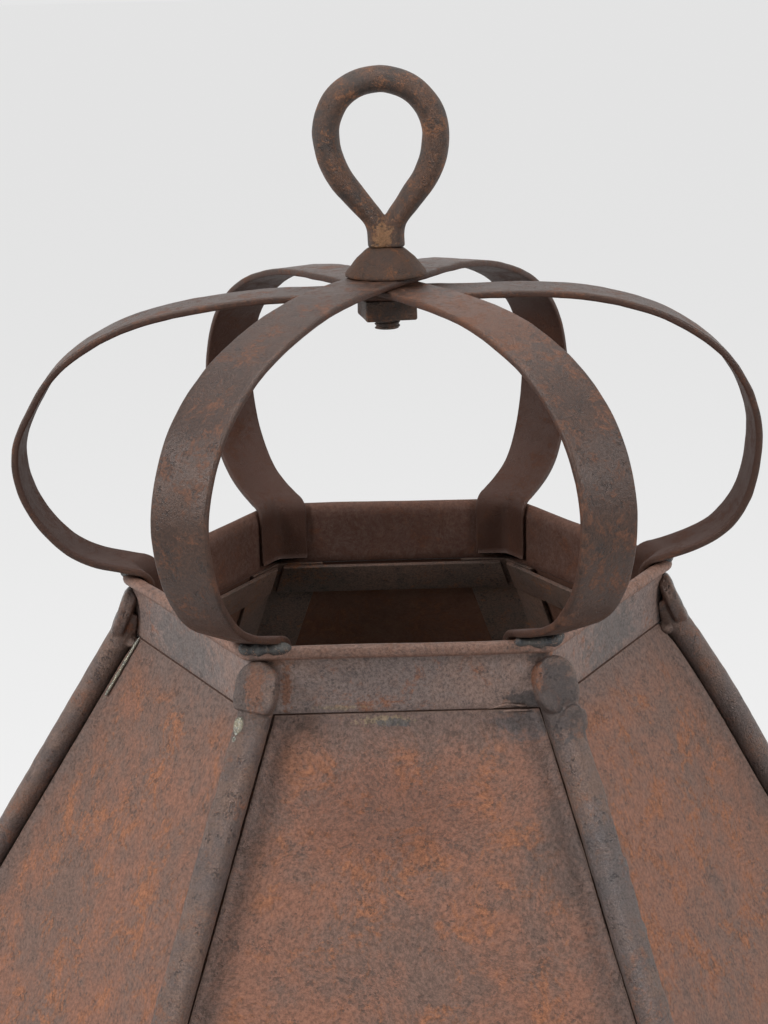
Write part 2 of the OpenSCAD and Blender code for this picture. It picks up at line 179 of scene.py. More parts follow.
def noise_value(tree, where, scale, detail, rough=0.6):
    inputs = {"Vector": where, "Scale": scale, "Detail": detail, "Roughness": rough}
    return add(tree, "ShaderNodeTexNoise", inputs).outputs["Fac"]


def moved_by_seed(tree, where, seed):
    """The same place in another part of the noise, so that no two finishes share their marks."""
    step = vector_maths(tree, "SCALE", (1.31, 2.17, -1.73), seed)
    return vector_maths(tree, "ADD", where, step)


def pushed_about(tree, place, scale, amount):
    """A place moved by a coarse noise, so that what is drawn there has a ragged outline."""
    ragged = add(tree, "ShaderNodeTexNoise", {"Vector": place, "Scale": scale, "Detail": 1.0})
    shift = vector_maths(tree, "SCALE", ragged.outputs["Color"], amount)
    return vector_maths(tree, "ADD", place, shift)


def make_mottling():
    """Cloudy patches, a finer grain over them and small separate specks."""
    tree, given, result = open_group(
        "mottling",
        {"Vector": (VECTOR, None), "Scale": (FLOAT, 20.0), "Seed": (FLOAT, 0.0), "Warp": (FLOAT, 0.4)},
        ("Patches", "Grain", "Specks"),
    )
    place = moved_by_seed(tree, given["Vector"], given["Seed"])
    amount = maths(tree, "DIVIDE", given["Warp"], given["Scale"])
    warped = pushed_about(tree, place, given["Scale"], amount)
    for label, finer, detail, rough in (
        ("Patches", 1.0, 4.0, 0.62),
        ("Grain", 6.0, 5.0, 0.72),
        ("Specks", 34.0, 4.0, 0.85),
    ):
        scale = times(tree, given["Scale"], finer)
        tree.links.new(noise_value(tree, warped, scale, detail, rough), result[label])
    return tree


def make_pits():
    """Corrosion pits: small ragged hollows that gather in places and leave others smooth."""
    ragged_finer = 1.7
    gathered_coarser = 0.22
    push = 1.1
    soft_edge = 0.2
    tree, given, result = open_group(
        "pits",
        {"Vector": (VECTOR, None), "Scale": (FLOAT, 300.0), "Amount": (FLOAT, 0.5), "Seed": (FLOAT, 0.0)},
        ("Mask", "Height"),
    )
    place = moved_by_seed(tree, given["Vector"], given["Seed"])
    amount = maths(tree, "DIVIDE", push, given["Scale"])
    ragged = pushed_about(tree, place, times(tree, given["Scale"], ragged_finer), amount)
    cells = add(tree, "ShaderNodeTexVoronoi", {"Vector": ragged, "Scale": given["Scale"]})
    gathered = noise_value(tree, place, times(tree, given["Scale"], gathered_coarser), 2.0)
    limit = times(tree, spread(tree, gathered, 0.42, 0.72), given["Amount"])
    inside = maths(tree, "SUBTRACT", limit, cells.outputs["Distance"])
    mask = spread(tree, inside, 0.0, soft_edge)
    tree.links.new(mask, result["Mask"])
    tree.links.new(times(tree, mask, -1.0), result["Height"])
    return tree


def make_edge_wear():
    """Rubbed corners: where the rounded normal leaves the surface's own, broken up by a grain."""
    grain_scale = 150.0
    tree, given, result = open_group(
        "edge_wear",
        {"Vector": (VECTOR, None), "Radius": (FLOAT, 0.0012), "Amount": (FLOAT, 1.0)},
        ("Mask",),
    )
    rounded = add(tree, "ShaderNodeBevel", {"Radius": given["Radius"]}, samples=4)
    surface = add(tree, "ShaderNodeNewGeometry")
    alike = vector_maths(tree, "DOT_PRODUCT", rounded.outputs[0], surface.outputs["Normal"])
    rubbed = spread(tree, maths(tree, "SUBTRACT", 1.0, alike), 0.01, 0.14)
    grain = noise_value(tree, given["Vector"], grain_scale, 3.0)
    both = times(tree, rubbed, spread(tree, grain, 0.35, 0.6, 0.2, 1.0))
    tree.links.new(maths(tree, "MULTIPLY", both, given["Amount"], clamp=True), result["Mask"])
    return tree


def make_stain_at():
    """A stain round one place: full at its centre, gone outside its size, with a broken edge."""
    broken = 2.4
    full_within = 0.55
    tree, given, result = open_group(
        "stain_at",
        {
            "Vector": (VECTOR, None),
            "Centre": (VECTOR, None),
            "Size": (VECTOR, (0.01, 0.01, 0.01)),
            "Scale": (FLOAT, 250.0),
        },
        ("Mask",),
    )
    off = vector_maths(tree, "SUBTRACT", given["Vector"], given["Centre"])
    far = vector_maths(tree, "LENGTH", vector_maths(tree, "DIVIDE", off, given["Size"]))
    grain = noise_value(tree, given["Vector"], given["Scale"], 3.0, 0.65)
    reach = maths(tree, "ADD", far, times(tree, maths(tree, "SUBTRACT", grain, 0.5), broken))
    tree.links.new(spread(tree, reach, 1.0, full_within), result["Mask"])
    return tree


MOTTLING = make_mottling()
PITS = make_pits()
EDGE_WEAR = make_edge_wear()
STAIN_AT = make_stain_at()


def fill_group(tree, group, inputs):
    return add(tree, "ShaderNodeGroup", inputs, node_tree=group)


def rgb(red, green, blue):
    return (red, green, blue, 1.0)


def new_material(name):
    """A material, its node tree and its shader."""
    material = bpy.data.materials.new(name)
    material.use_nodes = True
    tree = material.node_tree
    return material, tree, tree.nodes["Principled BSDF"]


def stain(centre, size, colour, strength, scale=250.0):
    """A stain on a finish: its centre and reach in millimetres, and how fine its broken edge is."""
    inputs = {"Centre": [v * MM for v in centre], "Size": [v * MM for v in size], "Scale": scale}
    return inputs, colour, strength


def iron_finish(
    name,
    ground,
    patch,
    rust,
    dark,
    worn,
    soot_and_shade=(0.038, 0.016, 0.008),
    patch_scale=28.0,
    rust_share=0.5,
    speck_share=0.3,
    pit_scale=700.0,
    pit_amount=0.6,
    wear=1.0,
    wear_radius=0.0012,
    rough=(0.42, 0.75),
    metallic=0.35,
    gloss_level=0.5,
    bump=0.35,
    stains=(),
    seed=0.0,
    grey=None,
):
    """Rusted iron: rust patches over a darker ground, dark specks, pits, rubbed corners, and soot with
    painted shade on the inner and under sides.
    """
    blotch_finer = 2.6
    relief_depth = 0.0012
    material, tree, shader = new_material(name)
    shader.inputs["Specular IOR Level"].default_value = gloss_level
    where = add(tree, "ShaderNodeTexCoord").outputs["Object"]
    clouds = fill_group(tree, MOTTLING, {"Vector": where, "Scale": patch_scale, "Seed": seed}).outputs
    blotches = fill_group(
        tree,
        MOTTLING,
        {"Vector": where, "Scale": patch_scale * blotch_finer, "Seed": seed + 7.0, "Warp": 0.9},
    ).outputs
    pits = fill_group(
        tree, PITS, {"Vector": where, "Scale": pit_scale, "Amount": pit_amount, "Seed": seed}
    ).outputs
    rubbed = fill_group(tree, EDGE_WEAR, {"Vector": where, "Radius": wear_radius, "Amount": wear})

    # Ground, patches and rust, and the greyer band near an edge.
    mixed = maths(tree, "ADD", clouds["Patches"], times(tree, clouds["Grain"], 0.8))
    colour = blend_colour(tree, spread(tree, mixed, 0.74, 1.06), rgb(*ground), rgb(*patch))
    rusty = maths(tree, "ADD", blotches["Patches"], blotches["Grain"])
    rust_from = 1.16 - 0.34 * rust_share
    rust_mask = spread(tree, rusty, rust_from, rust_from + 0.26)
    colour = blend_colour(tree, rust_mask, colour, rgb(*rust))
    if grey:
        near = add(tree, "ShaderNodeAttribute", attribute_name="near_edge").outputs["Fac"]
        banded = times(tree, near, times(tree, blotches["Grain"], 1.7))
        colour = blend_colour(tree, spread(tree, banded, 0.2, 0.9, 0.0, 0.85), colour, rgb(*grey))

    # Dark specks, stains, a fine light and dark grain, pits, rubbed corners, and soot with painted shade on
    # the inner and under sides.
    specky = maths(tree, "ADD", clouds["Specks"], times(tree, clouds["Grain"], 0.6))
    speck_from = 1.02 - 0.3 * speck_share
    speck_mask = spread(tree, specky, speck_from, speck_from + 0.3, 0.0, 0.85)
    colour = blend_colour(tree, speck_mask, colour, rgb(*dark))
    for inputs, stain_colour, strength in stains:
        spot = fill_group(tree, STAIN_AT, {"Vector": where, **inputs}).outputs["Mask"]
        colour = blend_colour(tree, times(tree, spot, strength), colour, rgb(*stain_colour))
    fine = spread(tree, clouds["Specks"], 0.33, 0.67, 1.42, 0.6)
    shade = add(tree, "ShaderNodeCombineColor", {0: fine, 1: fine, 2: fine})
    colour = blend_colour(tree, 1.0, colour, shade.outputs[0], "MULTIPLY")
    colour = blend_colour(tree, times(tree, pits["Mask"], 0.6), colour, rgb(*dark))
    bright = times(tree, rubbed.outputs["Mask"], 0.7)
    colour = blend_colour(tree, bright, colour, rgb(*worn))
    # Inner and under sides are darkened towards the soot colour: soot together with painted shade.
    inner = add(tree, "ShaderNodeAttribute", attribute_name="inner_side").outputs["Fac"]
    soot_and_shade_mask = times(tree, inner, spread(tree, blotches["Grain"], 0.3, 0.7, 0.94, 0.72))
    colour = blend_colour(tree, soot_and_shade_mask, colour, rgb(*soot_and_shade))
    tree.links.new(colour, shader.inputs["Base Color"])

    dull = maths(tree, "ADD", rust_mask, clouds["Grain"])
    gloss = spread(tree, dull, 0.3, 1.2, rough[0], rough[1])
    gloss = maths(tree, "SUBTRACT", gloss, times(tree, bright, 0.14))
    gloss = maths(tree, "ADD", gloss, times(tree, soot_and_shade_mask, 0.3), clamp=True)
    tree.links.new(gloss, shader.inputs["Roughness"])
    bare = times(tree, maths(tree, "SUBTRACT", 1.0, times(tree, rust_mask, 0.8)), metallic)
    bare = maths(tree, "ADD", bare, times(tree, bright, 0.3))
    bare = maths(tree, "MULTIPLY", bare, maths(tree, "SUBTRACT", 1.0, soot_and_shade_mask), clamp=True)
    tree.links.new(bare, shader.inputs["Metallic"])

    relief = times(tree, clouds["Grain"], 0.5)
    relief = maths(tree, "SUBTRACT", relief, times(tree, clouds["Specks"], 0.55))
    relief = maths(tree, "ADD", relief, times(tree, pits["Height"], 0.4))
    relief = maths(tree, "ADD", relief, times(tree, rust_mask, 0.12))
    height = add(tree, "ShaderNodeBump", {"Height": relief, "Strength": bump, "Distance": relief_depth})
    tree.links.new(height.outputs["Normal"], shader.inputs["Normal"])
    return material


RUST_ORANGE = (0.24, 0.100, 0.048)
RUST_DARK = (0.15, 0.060, 0.030)
OCHRE = (0.26, 0.20, 0.12)
BLUE_BLACK = (0.045, 0.050, 0.055)

STRAP_IRON = iron_finish(
    "strap_iron_worn_brown",
    ground=(0.036, 0.018, 0.012),
    patch=(0.050, 0.025, 0.016),
    rust=(0.098, 0.038, 0.018),
    dark=(0.016, 0.012, 0.011),
    worn=(0.20, 0.15, 0.125),
    soot_and_shade=(0.036, 0.009, 0.002),
    patch_scale=26.0,
    wear=1.3,
    rough=(0.36, 0.6),
    metallic=0.22,
    gloss_level=0.4,
    bump=0.4,
    seed=1.0,
    stains=(
        stain((34, -58, 757), (46, 56, 24), (0.105, 0.038, 0.015), 0.62),
        stain((-98, -20, 660), (26, 26, 40), (0.085, 0.030, 0.012), 0.4),
    ),
)
CONE_IRON = iron_finish(
    "cone_iron_rust_brown",
    ground=(0.055, 0.025, 0.013),
    patch=(0.045, 0.025, 0.017),
    rust=(0.14, 0.058, 0.026),
    dark=(0.030, 0.022, 0.018),
    worn=(0.15, 0.11, 0.085),
    patch_scale=60.0,
    rust_share=0.45,
    speck_share=0.6,
    rough=(0.6, 0.85),
    metallic=0.1,
    gloss_level=0.35,
    bump=0.7,
    seed=27.0,
)
EYE_IRON = iron_finish(
    "eye_iron_brown_and_black",
    ground=(0.074, 0.036, 0.021),
    patch=(0.038, 0.027, 0.022),
    rust=(0.185, 0.078, 0.036),
    dark=(0.030, 0.022, 0.019),
    worn=(0.21, 0.16, 0.13),
    patch_scale=55.0,
    rust_share=0.45,
    speck_share=0.5,
    rough=(0.42, 0.7),
    bump=0.6,
    seed=3.0,
    stains=(
        stain((-1, -6, 786.5), (5, 9, 10), (0.26, 0.135, 0.062), 0.7, 600.0),
    ),
)
COLLAR_IRON = iron_finish(
    "collar_iron_grey_brown",
    ground=(0.162, 0.122, 0.110),
    patch=(0.188, 0.126, 0.104),
    rust=(0.205, 0.092, 0.056),
    dark=(0.050, 0.040, 0.036),
    worn=(0.26, 0.165, 0.125),
    grey=(0.180, 0.098, 0.070),
    soot_and_shade=(0.046, 0.011, 0.002),
    patch_scale=24.0,
    rust_share=0.38,
    speck_share=0.1,
    rough=(0.48, 0.7),
    metallic=0.2,
    gloss_level=0.4,
    bump=0.25,
    seed=5.0,
    stains=(
        stain((-44, -101, 623), (2.4, 5, 12), RUST_DARK, 0.8, 500.0),
        stain((-47, -103, 635), (8, 5, 2.5), RUST_ORANGE, 0.45),
        stain((56, -101, 627), (3.2, 5, 7), RUST_DARK, 0.85, 500.0),
        stain((52, -101, 616), (12, 5, 5), (0.030, 0.029, 0.030), 0.75),
        stain((57, -101, 628), (6, 6, 13), (0.040, 0.034, 0.032), 0.7),
        stain((-55, -103, 628), (7, 9, 14), (0.050, 0.040, 0.036), 0.7),
        stain((63, -97, 636), (5, 5, 3), RUST_ORANGE, 0.6),
        stain((-23, -101, 614.8), (11, 4, 1.2), OCHRE, 0.45, 500.0),
        stain((-118, 0, 621), (8, 8, 11), RUST_DARK, 0.8),
        stain((116, 0, 621), (7, 7, 10), BLUE_BLACK, 0.6),
        stain((-94, -56, 624), (28, 44, 15), (0.098, 0.086, 0.082), 0.7),
        stain((96, -56, 624), (24, 40, 15), (0.090, 0.080, 0.076), 0.75),
    ),
)
ROOF_SHEET = iron_finish(
    "roof_sheet_rust",
    ground=(0.176, 0.078, 0.048),
    patch=(0.122, 0.070, 0.052),
    rust=(0.235, 0.097, 0.050),
    dark=(0.060, 0.038, 0.030),
    worn=(0.26, 0.18, 0.14),
    grey=(0.112, 0.076, 0.064),
    soot_and_shade=(0.080, 0.028, 0.013),
    patch_scale=19.0,
    speck_share=0.4,
    pit_scale=620.0,
    wear_radius=0.0008,
    rough=(0.55, 0.85),
    metallic=0.05,
    gloss_level=0.4,
    bump=0.6,
    seed=9.0,
    stains=(
        stain((-6, -102.5, 609.4), (12, 6, 2.0), OCHRE, 0.5, 600.0),
        stain((-2, -103, 608.6), (8, 6, 2.0), BLUE_BLACK, 0.75, 500.0),
        stain((50, -103, 607), (15, 7, 6), BLUE_BLACK, 0.55),
        stain((-6, -119, 576), (42, 18, 30), (0.112, 0.042, 0.023), 0.5, 900.0),
        stain((60, -128, 560), (14, 14, 40), (0.070, 0.050, 0.043), 0.45),
        stain((70, -86, 606), (9, 9, 7), (0.075, 0.068, 0.064), 0.7),
    ),
)
BAR_IRON = iron_finish(
    "bar_iron_grey",
    ground=(0.088, 0.064, 0.057),
    patch=(0.128, 0.080, 0.061),
    rust=(0.170, 0.076, 0.045),
    dark=(0.026, 0.022, 0.023),
    worn=(0.30, 0.265, 0.25),
    patch_scale=34.0,
    rust_share=0.35,
    speck_share=0.28,
    pit_amount=0.55,
    wear=1.4,
    rough=(0.3, 0.58),
    gloss_level=0.45,
    bump=0.75,
    seed=12.0,
    stains=(
        stain((-119, 0, 618), (5, 7, 9), RUST_DARK, 0.9),
        stain((-126, 0, 626), (7, 10, 12), (0.052, 0.050, 0.051), 0.8),
        stain((126, 0, 626), (7, 10, 12), (0.046, 0.044, 0.045), 0.8),
        stain((119, 0, 621), (4.5, 6, 9), BLUE_BLACK, 0.8),
        stain((82, -142, 550), (22, 26, 50), (0.075, 0.071, 0.073), 0.5),
        stain((62, -107, 618), (15, 15, 22), (0.036, 0.031, 0.031), 0.7),
        stain((-61, -106, 622), (13, 13, 15), (0.070, 0.052, 0.046), 0.7),
        stain((-56, -107, 625), (4.5, 9, 12), RUST_DARK, 0.7, 500.0),
        stain((54, -104, 628), (4, 9, 7), RUST_DARK, 0.8, 500.0),
    ),
)
WELD_METAL = iron_finish(
    "weld_metal_dark",
    ground=(0.040, 0.043, 0.047),
    patch=(0.085, 0.080, 0.073),
    rust=(0.20, 0.09, 0.045),
    dark=(0.020, 0.020, 0.022),
    worn=(0.34, 0.33, 0.31),
    patch_scale=130.0,
    rust_share=0.3,
    speck_share=0.0,
    pit_amount=0.2,
    rough=(0.18, 0.42),
    metallic=0.6,
    bump=0.5,
    seed=15.0,
)
# Pale bare metal: the real colour of the spot weld, and a painted highlight where it is used on the sheet
# edge.
BARE_METAL_AND_PAINTED_HIGHLIGHT = iron_finish(
    "spot_weld_bare_and_painted_highlight",
    ground=(0.22, 0.225, 0.20),
    patch=(0.27, 0.235, 0.16),
    rust=(0.16, 0.10, 0.06),
    dark=(0.05, 0.05, 0.05),
    worn=(0.48, 0.47, 0.43),
    patch_scale=180.0,
    speck_share=0.2,
    rough=(0.22, 0.45),
    metallic=0.6,
    bump=0.5,
    seed=24.0,
)
INNER_IRON = iron_finish(
    "inner_iron_sooty",
    ground=(0.090, 0.050, 0.036),
    patch=(0.074, 0.047, 0.037),
    rust=(0.16, 0.065, 0.032),
    dark=(0.014, 0.011, 0.009),
    worn=(0.060, 0.048, 0.040),
    patch_scale=30.0,
    rust_share=0.3,
    rough=(0.65, 0.9),
    metallic=0.0,
    gloss_level=0.3,
    seed=18.0,
)
FRAME_IRON = iron_finish(
    "frame_iron_brown",
    ground=(0.080, 0.055, 0.046),
    patch=(0.110, 0.068, 0.051),
    rust=(0.17, 0.075, 0.042),
    dark=(0.034, 0.028, 0.026),
    worn=(0.25, 0.19, 0.165),
    rust_share=0.35,
    rough=(0.42, 0.7),
    seed=21.0,
)


def clear_glass():
    """Old window glass: clear, faintly green, with a slow waviness and a little dust."""
    material, tree, shader = new_material("pane_glass_old")
    shader.inputs["Transmission Weight"].default_value = 1.0
    shader.inputs["IOR"].default_value = 1.5
    shader.inputs["Metallic"].default_value = 0.0
    where = add(tree, "ShaderNodeTexCoord").outputs["Object"]
    clouds = fill_group(tree, MOTTLING, {"Vector": where, "Scale": 9.0, "Seed": 31.0}).outputs
    cloudy = spread(tree, clouds["Patches"], 0.4, 0.7)
    tint = blend_colour(tree, cloudy, rgb(0.86, 0.93, 0.89), rgb(0.80, 0.87, 0.82))
    tree.links.new(tint, shader.inputs["Base Color"])
    gloss = spread(tree, clouds["Grain"], 0.45, 0.75, 0.02, 0.16)
    tree.links.new(gloss, shader.inputs["Roughness"])
    waviness = {"Height": clouds["Patches"], "Strength": 0.15, "Distance": 0.002}
    height = add(tree, "ShaderNodeBump", waviness)
    tree.links.new(height.outputs["Normal"], shader.inputs["Normal"])
    return material


PANE_GLASS = clear_glass()


def turn(axis, degrees):
    return Matrix.Rotation(math.radians(degrees), 4, axis)


def corner_turn(index):
    """Turn that takes what is built over the X axis round to a corner of the lantern."""
    return turn("Z", 60 * (index - 1))


def face_frame(index, apothem, height, lean):
    """Frame on a face: x runs across the face, y up its slope, z out of it."""
    axes = Matrix(((0, 0, 1, 0), (1, 0, 0, 0), (0, 1, 0, 0), (0, 0, 0, 1)))
    lift = Matrix.Translation((apothem, 0, height))
    return turn("Z", 60 * index - 30) @ lift @ turn("Y", lean) @ axes


def roof_frame(index):
    return face_frame(index, RIDGE_FOOT_R * COS30, EAVES_Z, -FACE_LEAN)


def roof_half_width(up, inset):
    grow = (RIDGE_TOP_R - RIDGE_FOOT_R) / 2 / SLOPE_H
    return RIDGE_FOOT_R / 2 + grow * up - inset / math.cos(math.atan(grow))


def smooth_step(share):
    share = max(0.0, min(1.0, share))
    return share * share * (3 - 2 * share)


def uneven(point, size, seed=0.0):
    """Smooth noise between about -1 and 1 that changes over size millimetres."""
    return noise.noise(Vector(point) / size + Vector((seed, seed * 1.7, -seed)))


def skin(rings, closed=False):
    """Points and faces of a closed skin over rings of equal count; open ends get a capping fan."""
    count = len(rings[0])
    points = [p for ring in rings for p in ring]
    faces = []
    spans = len(rings) if closed else len(rings) - 1
    for i in range(spans):
        here = i * count
        there = ((i + 1) % len(rings)) * count
        for k in range(count):
            after = (k + 1) % count
            faces.append((here + k, here + after, there + after, there + k))
    if not closed:
        for first, order in ((0, -1), ((len(rings) - 1) * count, 1)):
            middle = sum((points[first + k] for k in range(count)), Vector()) / count
            points.append(middle)
            for k in range(count):
                after = (k + 1) % count
                ends = (first + k, first + after) if order > 0 else (first + after, first + k)
                faces.append((ends[0], ends[1], len(points) - 1))
    return points, faces


def joined(parts):
    """Points and faces of several bodies, given as points and faces each, in one list."""
    points = []
    faces = []
    for part_points, part_faces in parts:
        faces += [tuple(v + len(points) for v in face) for face in part_faces]
        points += part_points
    return points, faces


# How far the collar's right corner was pulled out, as a share of the squared distance.
CORNER_PULL = 0.00026


def hand_bent(point):
    """Where the maker left a point: the collar's right corner stands a little further out."""
    x, y, z = point
    # The pull grows over 90 mm from low on the roof, and fades over 60 mm above the rim.
    from_z = COLLAR_Z - 95
    rise = 90
    to_z = RIM_Z + 5
    fall = 60
    near = smooth_step((z - from_z) / rise) * (1 - smooth_step((z - to_z) / fall))
    if x > 0:
        x += CORNER_PULL * x * x * near
    return Vector((x, y, z))


def make_piece(name, points, faces, material, body="lantern", nodes=(), matrix=None):
    """A piece of the lantern from points in millimetres, riding on its body."""
    mesh = bpy.data.meshes.new(name)
    matrix = matrix or Matrix.Identity(4)
    mesh.from_pydata([hand_bent(matrix @ Vector(p)) * MM for p in points], [], faces)
    tidy = bmesh.new()
    tidy.from_mesh(mesh)
    bmesh.ops.recalc_face_normals(tidy, faces=tidy.faces)
    tidy.to_mesh(mesh)
    tidy.free()
    mesh.polygons.foreach_set("use_smooth", [True] * len(mesh.polygons))
    mesh.materials.append(material)
    made = put_in_scene(name, mesh)
    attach(made, body)
    if nodes:
        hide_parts(*nodes)
    return made


def mark(made, name, values):
    """A value at each point of the piece that its finish reads; points that are left out get 0."""
    attribute = made.data.attributes.new(name, "FLOAT", "POINT")
    attribute.data.foreach_set("value", values + [0.0] * (len(made.data.vertices) - len(values)))


def along_path(path, section, squeeze=None):
    """Rings of a bar or strap swept along a line in the x-z plane.

    section(i) gives (side, out) pairs: side runs along y, out along the line's normal.
    squeeze(i, side) gives how far a point moves towards the middle of the lantern.
    """
    last = len(path) - 1
    rings = []
    for i, at in enumerate(path):
        before = path[max(i - 1, 0)]
        after = path[min(i + 1, last)]
        along = Vector((after[0] - before[0], after[1] - before[1])).normalized()
        normal = Vector((-along.y, along.x))
        ring = []
        for side, out in section(i):
            x = at[0] + out * normal.x
            if squeeze:
                x -= squeeze(i, side)
            ring.append(Vector((x, side, at[1] + out * normal.y)))
        rings.append(ring)
    return rings


def flat_section(width, thick, radius):
    """Outline of flat bar with rounded corners, as (side, out) pairs."""
    across = 9
    round_steps = 3
    half_w = width / 2 - radius
    half_t = thick / 2 - radius
    outline = []
    for side, out, start in ((1, 1, 0), (-1, 1, 90), (-1, -1, 180), (1, -1, 270)):
        for k in range(round_steps + 1):
            angle = math.radians(start + 90 * k / round_steps)
            corner_side = side * half_w + radius * math.cos(angle)
            outline.append((corner_side, out * half_t + radius * math.sin(angle)))
        if side * out > 0:
            steps = [half_w - 2 * half_w * k / (across + 1) for k in range(1, across + 1)]
            outline += [(side * s, out * thick / 2) for s in steps]
    return outline


def curve_point(p, t):
    """Catmull-Rom point between the second and third of four points."""
    return tuple(
        (2 * b + (c - a) * t + (2 * a - 5 * b + 4 * c - d) * t**2 + (3 * b - a - 3 * c + d) * t**3) / 2
        for a, b, c, d in zip(*p)
    )


# Half a strap's line from the hub to inside the collar, as radius and height over the rim.
HUB_FLAT = 26.0
BELLY = (
    (0, CROWN_H),
    (HUB_FLAT, CROWN_H),
    (62, CROWN_H - 1.3),
    (93, CROWN_H - 6),
    (122, CROWN_H - 16.4),
    (146, CROWN_H - 35),
    (157.5, CROWN_H - 62.5),
    (153, 40),
    (138, 19.5),
    (118, 9),
    (98, 5.5),
    (78, 4),
)


def strap_path(lift):
    """Half a crown strap from the hub over the rim and down inside the collar's corner."""
    hub_steps = 8
    bend_steps = 12
    foot_steps = 8
    over_rim = 116.5
    foot_top = 1.5
    line = [(k * HUB_FLAT / hub_steps, CROWN_H) for k in range(hub_steps)]
    for i in range(len(BELLY) - 3):
        for k in range(bend_steps):
            line.append(curve_point(BELLY[i:i + 4], k / bend_steps))
    top = max(range(len(line)), key=lambda i: line[i][0])
    cut = next(i for i in range(top, len(line)) if line[i][0] < over_rim)
    line = line[:cut]
    raised = []
    for r, z in line:
        share = smooth_step((r - HUB_FLAT) / (COLLAR_R - HUB_FLAT))
        raised.append((r, z + lift * STRAP_T * (1 - share)))
    start = raised[-1]
    foot_r = COLLAR_IN_R - STRAP_T / COS30 / 2
    knee = (foot_r, start[1] - 1.0)
    end = (foot_r, foot_top)
    for k in range(1, foot_steps + 1):
        t = k / foot_steps
        raised.append(tuple(
            start[j] * (1 - t) ** 2 + 2 * knee[j] * t * (1 - t) + end[j] * t**2 for j in (0, 1)
        ))
    for k in range(1, foot_steps + 1):
        raised.append((foot_r, end[1] + (-FOOT_DROP - end[1]) * k / foot_steps))
    return raised


def crown_strap(name, angle, lift, seed, bulge=0.0, sag=0.0):
    """A flat iron strap bent over the crown, its two feet folded into opposite collar corners."""
    half = strap_path(lift)
    widest_z = max(half)[1]
    fuller = []
    for r, z in half:
        low = smooth_step((widest_z + 28 - z) / 45) * smooth_step((r - COLLAR_R) / 12)
        high = smooth_step((r - 40) / 50) * smooth_step((z - widest_z) / 25)
        fuller.append((r + bulge * low, z - sag * high))
    path = [(-r, z) for r, z in reversed(fuller[1:])] + half
    middle = len(half) - 1
    lengths = [0.0]
    for a, b in zip(path, path[1:]):
        lengths.append(lengths[-1] + math.hypot(b[0] - a[0], b[1] - a[1]))
    total = lengths[-1]
    outline = flat_section(STRAP_W, STRAP_T, 0.95)
    fold_run = 62.0
    foot_run = 22.0

    def section(i):
        s = lengths[i]
        ring = []
        for side, out in outline:
            edge = abs(side) / (STRAP_W / 2)
            wave = 0.28 * uneven((s, side * 0.5, 0), 34, seed) + 0.14 * uneven((s, side, 0), 9, seed + 3)
            worn = 0.35 * uneven((s, 40 * math.copysign(1, side), 0), 22, seed + 5) * edge**4
            ring.append((side + worn, out + wave + 0.12 * uneven((s, side, out * 9), 5, seed + 8)))
        return ring

    def squeeze(i, side):
        from_end = min(lengths[i], total - lengths[i])
        fold = 1 - smooth_step((from_end - foot_run) / (fold_run - foot_run))
        lean = (math.sqrt(side * side + 2.0) - math.sqrt(2.0)) * TAN30 * fold
        return math.copysign(lean, i - middle)

    points, faces = skin(along_path(path, section, squeeze))
    place = Matrix.Translation((0, 0, RIM_Z)) @ turn("Z", angle)
    made = make_piece(name, points, faces, STRAP_IRON, nodes=[name], matrix=place)
    # Darker towards the strap's underside, with the edges at half, through the soot colour: soot and
    # painted shade.
    inner = [0.5 - out / STRAP_T for side, out in outline]
    mark(made, "inner_side", inner * len(path))


crown_strap("crown_strap_upper", 60, 1, 1.3)
crown_strap("crown_strap_middle", 120, 0, 4.1)
crown_strap("crown_strap_lower", 0, -1, 7.7, bulge=4.2, sag=2.4)


